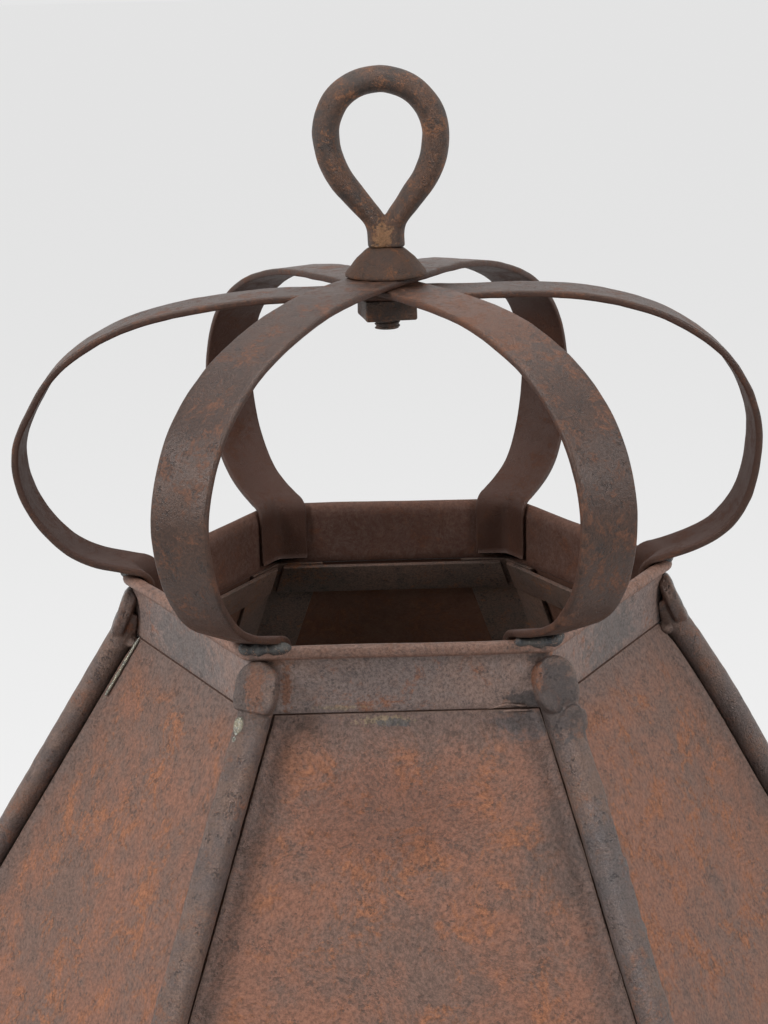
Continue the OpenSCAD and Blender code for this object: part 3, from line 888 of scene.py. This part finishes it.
def collar_band():
    """The open six-sided collar with its rolled rim, bent from one strip round six soft corners."""
    wall_in = COLLAR_IN_R * COS30
    wall_out = COLLAR_R * COS30
    bend = wall_in - 1.0
    bead_at = RIM_TURN_R * COS30
    bead_z = COLLAR_H + RIM_BEAD_R
    bead_steps = 13
    corner_steps = 6
    side_steps = 30
    profile = [(wall_in + 0.4, 0.0), (wall_in, 0.5)]
    profile += [(wall_in, z) for z in (4, 8, 12, 16, 20, 23.0)]
    profile.append((wall_in + 0.15, 25.0))
    for k in range(bead_steps + 1):
        angle = math.radians(165 - 275 * k / bead_steps)
        profile.append((bead_at + RIM_BEAD_R * math.cos(angle), bead_z + RIM_BEAD_R * math.sin(angle)))
    profile += [(wall_out, z) for z in (22.4, 20, 16, 12, 8, 4, 0.5)]
    profile.append((wall_out - 0.4, 0.0))
    stations = []
    for k in range(6):
        corner = Vector((bend / COS30, 0, 0))
        corner.rotate(Quaternion((0, 0, 1), math.radians(60 * k)))
        after = Vector((bend / COS30, 0, 0))
        after.rotate(Quaternion((0, 0, 1), math.radians(60 * (k + 1))))
        for j in range(corner_steps + 1):
            angle = math.radians(60 * k - 30 + 60 * j / corner_steps)
            stations.append((corner, Vector((math.cos(angle), math.sin(angle), 0))))
        flat = Vector((math.cos(math.radians(60 * k + 30)), math.sin(math.radians(60 * k + 30)), 0))
        for j in range(1, side_steps):
            stations.append((corner.lerp(after, j / side_steps), flat))
    rings = []
    for at, out in stations:
        ring = []
        for a, z in profile:
            bead = max(0.0, min(1.0, (z - 21.5) / 2.5))
            here = at + out * (a - bend)
            wave = 0.25 * uneven((here.x, here.y, z), 26, 2.0) + 0.12 * uneven((here.x, here.y, z), 8, 5.0)
            roll = 0.3 * uneven((here.x, here.y, 0), 14, 9.0) + 0.18 * uneven((here.x, here.y, z), 5, 11.0)
            push = wave * (1 - bead) * min(1, z / 3) + roll * bead * 0.8
            lift = 0.45 * uneven((here.x, here.y, 0), 45, 13.0) * bead
            ring.append(here + out * push + Vector((0, 0, z + lift)))
        rings.append(ring)
    points, faces = skin(rings, closed=True)
    place = Matrix.Translation((0, 0, COLLAR_Z))
    made = make_piece(
        "collar_band", points, faces, COLLAR_IRON, nodes=["collar_band"], matrix=place
    )
    # The inner wall takes the finish's soot colour: soot and painted shade.
    inner = [1.0 if a < wall_in + 0.3 else 0.0 for a, z in profile] * len(stations)
    # The back half of the rim's top takes it too: painted shade on the far side of the rim.
    back_rim_shade = [
        smooth_step(v.co.y / MM / 50) * smooth_step((v.co.z / MM - RIM_Z + 2) / 2)
        for v in made.data.vertices
    ]
    mark(made, "inner_side", [max(a, 0.85 * b) for a, b in zip(inner, back_rim_shade)])
    rim = [1.0 if z > COLLAR_H - 0.5 and a > wall_in + 0.3 else 0.0 for a, z in profile]
    mark(made, "near_edge", rim * len(stations))


collar_band()


# How far the top of a bar was welded to one side of its corner, in millimetres.
BAR_SKEW = {5: 4.6, 6: 1.6}


def roof_panel(index):
    """One sheet of the roof, a little wavy, its long edges turned up against the bars."""
    across_steps = 44
    up_steps = 52
    low = -BAR_DRIP
    joint = 0.5
    # The sheet's right edge follows a skewed bar no further than this.
    most_right = 3.2
    seed = index * 3.7
    grid = {}
    points = []
    near_edge = []
    inner = []
    for layer in (0, 1):
        high = SLOPE_H - joint - layer * SHEET_T * math.tan(math.radians(FACE_LEAN))
        for j in range(up_steps + 1):
            up = low + (high - low) * j / up_steps
            half = roof_half_width(up, SHEET_INSET)
            rise = max(0.0, up / SLOPE_H)
            from_left = BAR_SKEW.get(index, 0.0) * rise
            from_right = min(BAR_SKEW.get(index % 6 + 1, 0.0) * rise, most_right)
            for i in range(across_steps + 1):
                share = -1 + 2 * i / across_steps
                share = share * (1.5 - 0.5 * share * share)
                across = half * share + (from_left * (1 - share) + from_right * (1 + share)) / 2
                from_side = half * (1 - abs(share))
                from_end = min(up - low, high - up)
                calm = smooth_step(min(from_side, from_end + 2) / 14)
                wave = 0.6 * uneven((across, up, 0), 60, seed) + 0.16 * uneven((across, up, 0), 18, seed)
                curl = 1.1 * (1 - smooth_step(from_side / 4)) * smooth_step(from_end / 12)
                nick = 0.25 * uneven((math.copysign(20, share), up, 0), 7, seed + 4)
                edge_round = 0.25 * (1 - min(1, from_side / 1.2))
                out = SHEET_T - edge_round if layer else 0.0
                if abs(share) == 1:
                    across += nick
                grid[layer, j, i] = len(points)
                points.append(Vector((across, up, out + (wave * 0.8 - 0.27) * calm + curl)))
                near_edge.append(max(1 - from_side / 24, 1 - (high - up) / 30, 0))
                inner.append(1.0 - layer)
    faces = []
    for j in range(up_steps):
        for i in range(across_steps):
            for layer in (0, 1):
                places = ((j, i), (j, i + 1), (j + 1, i + 1), (j + 1, i))
                quad = tuple(grid[layer, up_at, side_at] for up_at, side_at in places)
                faces.append(quad if layer else quad[::-1])
    for j in range(up_steps):
        faces.append((grid[0, j, 0], grid[1, j, 0], grid[1, j + 1, 0], grid[0, j + 1, 0]))
        faces.append((
            grid[1, j, across_steps], grid[0, j, across_steps],
            grid[0, j + 1, across_steps], grid[1, j + 1, across_steps],
        ))
    for i in range(across_steps):
        faces.append((grid[1, 0, i], grid[0, 0, i], grid[0, 0, i + 1], grid[1, 0, i + 1]))
        faces.append((
            grid[0, up_steps, i], grid[1, up_steps, i],
            grid[1, up_steps, i + 1], grid[0, up_steps, i + 1],
        ))
    name = f"roof_panel_{index}"
    place = roof_frame(index)
    made = make_piece(name, points, faces, ROOF_SHEET, nodes=[name], matrix=place)
    mark(made, "near_edge", near_edge)
    # The sheet's inner face takes the soot colour: soot and painted shade.
    mark(made, "inner_side", inner)
    sharp = made.modifiers.new("edges", "EDGE_SPLIT")
    sharp.split_angle = math.radians(50)
    sharp.use_edge_angle = True


for corner in CORNERS:
    roof_panel(corner)


def hip_axis(t):
    """Point on a hip bar's axis, as corner radius and height, t along the ridge from the eaves."""
    off = 5.8
    lean = math.radians(HIP_LEAN)
    x = RIDGE_FOOT_R + off * math.cos(lean) - t * math.sin(lean)
    z = EAVES_Z + off * math.sin(lean) + t * math.cos(lean)
    return (x, z)


# Where a run of weld lies along a front bar, in degrees round the bar's section.
WELD_SIDE = {5: 180 + 34, 6: -34}
# How much of a lobe's foot is missing, and how far the lobe sits higher, in millimetres.
TAB_TRIM = {5: 3.5}
TAB_LIFT = {5: 2.0}
# Lumps of weld metal, each a centre and three radii, in the frame of their corner.
CORNER_FILL = (((119.8, 0.0, COLLAR_Z + 0.5), (4.2, 4.4, 6.0)),)
SIDE_FILL = ((116.6, 0.0, COLLAR_Z - 2.8), (5.0, 6.0, 3.4))
WELD_DROPS = {
    1: (SIDE_FILL,),
    4: (SIDE_FILL,),
    6: (
        ((127.0, 2.8, COLLAR_Z - 4.0), (3.6, 6.6, 7.8)),
        ((146.5, 4.2, 573.0), (3.0, 3.2, 6.5)),
        ((157.5, 4.6, 555.5), (3.2, 3.4, 8.0)),
        ((170.5, 4.8, 532.0), (3.4, 3.8, 9.0)),
        ((181.0, 4.6, 515.0), (3.0, 3.4, 6.0)),
    ),
}
# The raised sheet edge beside the left bar, drawn as a pale bead whose bare-metal colour is a painted
# highlight: its distance from the bar, how it spreads, its height.
SEAM_IN = 6.8
SEAM_SPREAD = 0.035
SEAM_OUT = 1.6


def hip_bar(index):
    """A round bar along the hip; its end is hammered to a plate that leans over the collar's corner."""
    seed = index * 5.3
    steps = 88
    bar_sides = 32
    tab_steps = 22
    tab_sides = 44
    reach = HIP_LINE_H + 9.0
    path = [hip_axis(-BAR_DRIP + (reach + BAR_DRIP) * k / steps) for k in range(steps + 1)]

    def bar_section(i):
        ring = []
        for k in range(bar_sides):
            angle = 2 * math.pi * k / bar_sides
            side, out = math.cos(angle), math.sin(angle)
            at = (side * 7, out * 7, i * 3.0)
            r = BAR_R + 0.16 * uneven(at, 9, seed) + 0.2 * uneven(at, 4, seed + 2)
            if index in WELD_SIDE:
                off = (math.degrees(angle) - WELD_SIDE[index] + 180) % 360 - 180
                lumpy = 1 + 0.35 * uneven((0, 0, i * 3.0), 7, seed + 6)
                r += 1.7 * lumpy * math.exp(-((off / 24) ** 2))
            ring.append((side * r, out * r))
        return ring

    tab_rings = []
    low_end = -TAB_R - 1.8 + TAB_TRIM.get(index, 0.0)
    high_end = TAB_R + TAB_RUN + 1.2
    for k in range(tab_steps + 1):
        z = low_end + (high_end - low_end) * (1 - math.cos(math.pi * k / tab_steps)) / 2
        off = min(0.0, z + 1.8) if z < 0 else max(0.0, z - TAB_RUN - 1.2)
        cap = math.sqrt(max(0.02, 1 - (off / TAB_R) ** 2))
        half = (TAB_R + 0.3) * cap
        deep = TAB_T / 2 * (0.6 + 0.4 * cap**0.5)
        ring = []
        for m in range(tab_sides):
            angle = 2 * math.pi * m / tab_sides
            side = half * math.copysign(abs(math.cos(angle)) ** 0.6, math.cos(angle))
            out = deep * math.copysign(abs(math.sin(angle)) ** 0.35, math.sin(angle))
            at = (side, out, z)
            dent = 0.75 * uneven(at, 8, seed + 9) + 0.5 * uneven(at, 3.4, seed + 11)
            dent += 0.25 * uneven(at, 1.7, seed)
            ring.append(Vector((-TAB_T / 2 + out + dent * (0.8 if out > 0 else 0.3), side, z)))
        tab_rings.append(ring)
    tab_up = COLLAR_Z + TAB_MID_Z + TAB_LIFT.get(index, 0.0)
    tab_place = Matrix.Translation((TAB_MID_R, 0, tab_up)) @ turn("Y", -TAB_LEAN)

    tab_points, tab_faces = skin(tab_rings)
    parts = [skin(along_path(path, bar_section)), ([tab_place @ point for point in tab_points], tab_faces)]
    parts += [
        lump(centre, size, 3.3 + centre[2])
        for centre, size in CORNER_FILL + WELD_DROPS.get(index, ())
    ]
    points, faces = joined(parts)
    kept = []
    for x, y, z in points:
        y += BAR_SKEW.get(index, 0.0) * max(0.0, min(1.1, (z - EAVES_Z) / ROOF_H))
        if z > COLLAR_Z - 1.0:
            x = max(x, COLLAR_R + 0.3 - abs(y) * TAN30)
        kept.append((x, y, z))
    name = f"hip_bar_{index}"
    place = corner_turn(index)
    made = make_piece(name, kept, faces, BAR_IRON, nodes=[name], matrix=place)
    forge(made, 0.65, 1)


def lump(centre, size, seed, rough=0.16):
    """Points and faces of a lump of weld metal, its three radii in millimetres."""
    ball = bmesh.new()
    bmesh.ops.create_icosphere(ball, subdivisions=4, radius=1.0)
    points = []
    for point in ball.verts:
        at = point.co
        swell = 1 + rough * uneven(at, 0.55, seed) + rough * 0.5 * uneven(at, 0.25, seed + 2)
        points.append(Vector([centre[j] + at[j] * size[j] * swell for j in range(3)]))
    faces = [tuple(v.index for v in face.verts) for face in ball.faces]
    ball.free()
    return points, faces


def forge(made, grain, rounds):
    """Melts the piece's overlapping bodies into one skin, as forging and welding do."""
    melted = made.modifiers.new("forged", "REMESH")
    melted.mode = "VOXEL"
    melted.voxel_size = grain * MM
    melted.use_smooth_shade = True
    calm = made.modifiers.new("calm", "SMOOTH")
    calm.factor = 0.5
    calm.iterations = rounds
    bpy.context.view_layer.update()
    shown = made.evaluated_get(bpy.context.evaluated_depsgraph_get())
    mesh = bpy.data.meshes.new_from_object(shown)
    made.modifiers.clear()
    old = made.data
    made.data = mesh
    bpy.data.meshes.remove(old)


for corner in CORNERS:
    hip_bar(corner)


def weld_bead(name, index, line, radius, seed, finish=WELD_METAL, uneven_by=0.35):
    """A run of weld metal of changing thickness, along a line given in the frame of its corner."""
    steps = 22
    ball_rough = 0.1
    parts = []
    lengths = [0.0]
    for a, b in zip(line, line[1:]):
        lengths.append(lengths[-1] + (Vector(b) - Vector(a)).length)
    for k in range(steps + 1):
        s = lengths[-1] * k / steps
        j = next((n for n in range(1, len(line)) if s <= lengths[n] + 1e-6), len(line) - 1)
        at = Vector(line[j - 1]).lerp(Vector(line[j]), (s - lengths[j - 1]) / (lengths[j] - lengths[j - 1]))
        swell = 1 + uneven_by * (uneven((s, 0, 0), 4.5, seed) + 0.6 * uneven((s, 0, 0), 1.8, seed + 3))
        taper = 0.55 + 0.45 * math.sqrt(max(0.0, 1 - abs(2 * k / steps - 1) ** 4))
        r = radius * swell * taper
        parts.append(lump(at, (r, r, r), seed + k, ball_rough))
    points, faces = joined(parts)
    made = make_piece(name, points, faces, finish, matrix=corner_turn(index))
    forge(made, min(0.45, radius / 2.5), 4)


def rim_run(start, end, out, height):
    """Line along the rim through a corner, by arc lengths either side, in the corner's own frame."""
    line = []
    for s in (start, (start + end) / 2, end) if start * end >= 0 else (start, 0.0, end):
        x = RIM_TURN_R - 0.5 * abs(s) + out
        line.append((x, math.copysign(COS30 * abs(s), s), height))
    return line


weld_bead("foot_weld_front_left", 5, rim_run(-2.0, 17.5, 1.2, RIM_Z + 5.2), 2.5, 1.5, uneven_by=0.7)
weld_bead("foot_weld_front_right", 6, rim_run(-12.5, 8.0, 1.2, RIM_Z + 5.2), 2.5, 4.5, uneven_by=0.7)
weld_bead("foot_weld_left", 4, rim_run(-4.0, 3.0, 0.8, RIM_Z + 5.4), 2.3, 7.5)
weld_bead("foot_weld_right", 1, rim_run(-3.0, 4.0, 0.8, RIM_Z + 5.4), 2.3, 9.5)
weld_bead(
    "bar_spot_weld", 5,
    [(125.6, 0.8, COLLAR_Z + 1.6), (127.6, 1.2, COLLAR_Z - 2.5), (129.8, 0.6, COLLAR_Z - 6.0)],
    2.1, 12.5, BARE_METAL_AND_PAINTED_HIGHLIGHT, 0.6,
)


def seam_point(drop):
    """Point on a sheet beside the bar, that far below the collar, in the corner's own frame."""
    x = RIDGE_TOP_R + SHEET_T + SEAM_OUT + drop * math.tan(math.radians(HIP_LEAN)) - SEAM_IN * TAN30
    return (x, SEAM_IN + SEAM_SPREAD * drop, COLLAR_Z - drop)


# A raised bead on the sheet edge by the left bar; its pale bare-metal colour is a painted highlight along
# the edge.
weld_bead(
    "sheet_edge_left_painted_highlight", 4, [seam_point(drop) for drop in (-0.5, 12.0, 27.0)], 0.9, 18.5, BARE_METAL_AND_PAINTED_HIGHLIGHT, 0.25
)
weld_bead(
    "torn_lip_upper", 6,
    [(104.0, -19.5, COLLAR_Z - 0.2), (108.5, -13.0, COLLAR_Z + 1.9), (112.6, -7.5, COLLAR_Z + 1.2)],
    0.55, 14.5, COLLAR_IRON, 0.2,
)
weld_bead(
    "torn_lip_lower", 6,
    [(106.0, -17.0, COLLAR_Z - 1.4), (110.0, -11.5, COLLAR_Z - 0.6), (113.6, -6.5, COLLAR_Z - 0.4)],
    0.5, 16.5, COLLAR_IRON, 0.2,
)


def turned_line(path, at, heading):
    """Points of a line of bends (radius, degrees); radius 0 stands for a straight of that length."""
    points = []
    for radius, amount in path:
        if radius == 0:
            steps = 6
            run = math.radians(heading)
            points += [
                (at[0] + amount * math.cos(run) * k / steps, at[1] + amount * math.sin(run) * k / steps)
                for k in range(1, steps + 1)
            ]
        else:
            centre = (
                at[0] + radius * math.sin(math.radians(heading)),
                at[1] - radius * math.cos(math.radians(heading)),
            )
            turned = heading - math.copysign(1, radius) * amount
            steps = math.ceil(amount / 4)
            for k in range(1, steps + 1):
                h = math.radians(heading + (turned - heading) * k / steps)
                points.append((centre[0] - radius * math.sin(h), centre[1] + radius * math.cos(h)))
            heading = turned
        at = points[-1]
    return points


def hanging_eye():
    """Round bar bent to a drop-shaped loop, its two ends forged into one neck over the cone."""
    top_r = 22.5
    side_r = 35.0
    taper = 38.0
    neck_r = 14.0
    neck_x = 3.1
    neck_bar_r = 4.5
    bar_sides = 26
    side_x = top_r - (side_r + neck_r) * (1 - math.cos(math.radians(taper)))
    leg = (side_x - neck_x) / math.sin(math.radians(taper))
    drop = top_r + (side_r + neck_r) * math.sin(math.radians(taper)) + leg * math.cos(math.radians(taper))
    bends = [(top_r, 90), (side_r, taper), (0, leg), (-neck_r, taper), (0, EYE_H - EYE_BAR_R - drop)]
    top = (0.0, EYE_H - EYE_BAR_R)
    half = [top] + turned_line(bends, top, 0.0)
    parts = []
    for side in (1, -1):
        path = [(side * x, z) for x, z in half]

        def section(i, side=side):
            ring = []
            for k in range(bar_sides):
                angle = 2 * math.pi * k / bar_sides
                cross, out = math.cos(angle), math.sin(angle)
                at = (path[i][0] + out * 5, cross * 5, path[i][1])
                forged = smooth_step((path[i][1] - 10.0) / 22.0)
                r = neck_bar_r + (EYE_BAR_R + 0.1 - neck_bar_r) * forged
                r += 0.3 * uneven(at, 16, 3.0) + 0.2 * uneven(at, 5, 6.0)
                ring.append((cross * r, out * r))
            return ring

        parts.append(skin(along_path(path, section)))
    points, faces = joined(parts)
    points = [Vector((1.015 * x + 0.4 - 2.0 * max(0.0, z) / EYE_H, y, z)) for x, y, z in points]
    name = "hanging_eye"
    place = Matrix.Translation((0, 0, EYE_FOOT_Z))
    made = make_piece(name, points, faces, EYE_IRON, nodes=[name], matrix=place)
    forge(made, 0.7, 3)


hanging_eye()


def turned_piece(name, profile, material, seed, rough, z0, nodes=(), threads=None):
    """A piece turned round the lantern's axis from (radius, height) pairs, with a hand-worn surface."""
    sides = 72
    rings = []
    for r, z in profile:
        ring = []
        for k in range(sides):
            angle = 2 * math.pi * k / sides
            at = (r * math.cos(angle), r * math.sin(angle), z)
            wear = rough * uneven(at, 6, seed) + 0.5 * rough * uneven(at, 2.5, seed + 3)
            cut = 0.0
            if threads:
                pitch, depth = threads
                phase = (z / pitch - k / sides) % 1.0
                cut = depth * abs(2 * phase - 1)
            worn_r = r + wear - cut
            ring.append(Vector((worn_r * math.cos(angle), worn_r * math.sin(angle), z)))
        rings.append(ring)
    points, faces = skin(rings)
    place = Matrix.Translation((0, 0, z0))
    make_piece(name, points, faces, material, nodes=nodes, matrix=place)


turned_piece(
    "cone_washer",
    [(4.0, 0.0), (16.4, 0.0), (17.1, 0.25), (17.4, 0.8), (17.2, 1.5), (16.5, 2.4), (15.1, 4.1), (13.6, 5.9),
     (12.0, 7.7), (10.3, 9.3), (8.9, 10.5), (7.9, 11.3), (6.9, 11.8), (5.0, 12.0)],
    CONE_IRON, nodes=["cone_washer"], seed=2.0, rough=0.45, z0=CONE_Z,
)
turned_piece(
    "thread_stub",
    [(EYE_BAR_R, 0.25 * k) for k in range(56)],
    EYE_IRON, seed=4.0, rough=0.05, threads=(1.8, 0.75),
    z0=HUB_Z - 1.5 * STRAP_T - NUT_H - 4.5,
)


def square_nut():
    """A hand-cut square nut, its corners knocked round."""
    tidy = bmesh.new()
    bmesh.ops.create_cube(tidy, size=1.0)
    bmesh.ops.scale(tidy, vec=(NUT_W, NUT_W, NUT_H), verts=tidy.verts)
    bmesh.ops.bevel(
        tidy, geom=tidy.edges[:], offset=1.1, segments=3, profile=0.6, affect="EDGES", clamp_overlap=True
    )
    bmesh.ops.subdivide_edges(tidy, edges=tidy.edges[:], cuts=2, use_grid_fill=True)
    for point in tidy.verts:
        point.co += point.co.normalized() * (0.22 * uneven(point.co, 5, 6.0) - 0.1)
    points = [point.co.copy() for point in tidy.verts]
    faces = [tuple(v.index for v in face.verts) for face in tidy.faces]
    tidy.free()
    place = Matrix.Translation((0, 0, HUB_Z - 1.5 * STRAP_T - NUT_H / 2)) @ turn("Z", NUT_TURN)
    name = "square_nut"
    made = make_piece(name, points, faces, EYE_IRON, nodes=[name], matrix=place)
    sharp = made.modifiers.new("edges", "WEIGHTED_NORMAL")
    sharp.keep_sharp = False


square_nut()


def softened(node, width, material, body="lantern"):
    """The node's own shape with its edges eased, as filed and rubbed iron has them."""
    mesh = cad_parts[node].data.copy()
    mesh.name = node + "_eased"
    tidy = bmesh.new()
    tidy.from_mesh(mesh)
    bmesh.ops.remove_doubles(tidy, verts=tidy.verts, dist=1e-6)
    bmesh.ops.dissolve_limit(tidy, angle_limit=math.radians(1.0), verts=tidy.verts, edges=tidy.edges)
    tidy.to_mesh(mesh)
    tidy.free()
    mesh.materials.clear()
    mesh.materials.append(material)
    mesh.polygons.foreach_set("use_smooth", [True] * len(mesh.polygons))
    made = put_in_scene(node + "_eased", mesh)
    eased = made.modifiers.new("eased", "BEVEL")
    eased.width = width * MM
    eased.segments = 2
    eased.limit_method = "ANGLE"
    eased.angle_limit = math.radians(30)
    eased.harden_normals = True
    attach(made, body)
    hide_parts(node)


for corner in CORNERS:
    softened(f"hip_angle_{corner}", 0.4, INNER_IRON)
    softened(f"top_strip_{corner}", 0.4, INNER_IRON)
    softened(f"corner_post_{corner}", 0.5, FRAME_IRON)
for node in ("eaves_frame", "base_frame", "floor_plate"):
    softened(node, 0.5, FRAME_IRON)
for node in ("hinge_leaf_lower", "hinge_leaf_upper", "hinge_pin_lower", "hinge_pin_upper"):
    softened(node, 0.25, FRAME_IRON)
for node in ("drip_pan", "candle_cup"):
    softened(node, 0.3, INNER_IRON)
softened("door_frame", 0.5, FRAME_IRON, body="door")
softened("turn_button", 0.4, FRAME_IRON, body="button")
softened("button_rivet", 0.25, FRAME_IRON)


for name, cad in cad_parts.items():
    finish = PANE_GLASS if "pane" in name else FRAME_IRON
    cad.data.materials.clear()
    cad.data.materials.append(finish)


def seen_share(tree):
    """1 for what the camera sees, straight, off a gloss or through glass, and 0 for what only lights."""
    path = add(tree, "ShaderNodeLightPath").outputs
    seen = maths(tree, "MAXIMUM", path["Is Camera Ray"], path["Is Glossy Ray"])
    return maths(tree, "MAXIMUM", seen, path["Is Transmission Ray"])


def pale_surface(name, shade, glow_shade, glow_share):
    """Ground that is seen as plain and pale, with the lantern's shadow kept."""
    material, tree, shader = new_material(name)
    out = tree.nodes["Material Output"]
    where = add(tree, "ShaderNodeTexCoord").outputs["Object"]
    cloud = add(tree, "ShaderNodeTexNoise", {"Vector": where, "Scale": 3.0, "Detail": 3.0})
    darker = shade * 0.99
    pale = blend_colour(tree, cloud.outputs["Fac"], rgb(shade, shade, shade), rgb(darker, darker, darker))
    tree.links.new(pale, shader.inputs["Base Color"])
    shader.inputs["Roughness"].default_value = 0.9
    glow_colour = rgb(glow_shade, glow_shade, glow_shade)
    glow = add(tree, "ShaderNodeEmission", {"Color": glow_colour, "Strength": 1.0})
    share = times(tree, seen_share(tree), glow_share)
    mixed = add(tree, "ShaderNodeMixShader", {0: share, 1: shader.outputs[0], 2: glow.outputs[0]})
    tree.links.new(mixed.outputs[0], out.inputs["Surface"])
    return material


def pale_floor():
    """A round pale floor, wide enough to fill every view."""
    reach = 30.0
    sides = 96
    rings = 5
    drop = -0.0005
    points = [(0, 0, drop)]
    for k in range(1, rings + 1):
        r = reach * (k / rings) ** 2
        points += [
            (r * math.cos(2 * math.pi * i / sides), r * math.sin(2 * math.pi * i / sides), drop)
            for i in range(sides)
        ]
    faces = [(0, 1 + i, 1 + (i + 1) % sides) for i in range(sides)]
    for k in range(rings - 1):
        a, b = 1 + k * sides, 1 + (k + 1) * sides
        faces += [(a + i, b + i, b + (i + 1) % sides, a + (i + 1) % sides) for i in range(sides)]
    mesh = bpy.data.meshes.new("pale_floor")
    mesh.from_pydata(points, [], faces)
    mesh.materials.append(pale_surface("pale_floor_paper", 0.80, 0.91, 0.78))
    floor = put_in_scene("pale_floor", mesh)


pale_floor()


def soft_light(name, place, aim, size, watts):
    """A plain white square lamp that looks at a point of the lantern."""
    data = bpy.data.lights.new(name, "AREA")
    data.shape = "SQUARE"
    data.size = size
    data.energy = watts
    lamp = put_in_scene(name, data)
    lamp.location = place
    lamp.rotation_mode = "QUATERNION"
    lamp.rotation_quaternion = (Vector(aim) - Vector(place)).to_track_quat("-Z", "Y")


def light_the_room():
    """Even pale room with a lamp in front at the left, a weaker one at the right and one above."""
    world = bpy.data.worlds.new("pale_room")
    world.use_nodes = True
    tree = world.node_tree
    ground = tree.nodes["Background"]
    ground.inputs["Color"].default_value = (0.79, 0.79, 0.79, 1.0)
    strength = spread(tree, seen_share(tree), 0.0, 1.0, 0.36, 1.0)
    tree.links.new(strength, ground.inputs["Strength"])
    bpy.context.scene.world = world
    soft_light("lamp_left", (-1.8, -1.0, 2.0), (0, 0, 0.6), 0.8, 52.0)
    soft_light("lamp_right", (1.9, -0.9, 1.8), (0, 0, 0.6), 0.8, 34.0)
    soft_light("lamp_top", (0.0, 0.3, 2.6), (0, 0, 0.7), 1.2, 22.0)


light_the_room()

bpy.context.scene.view_settings.view_transform = "Standard"
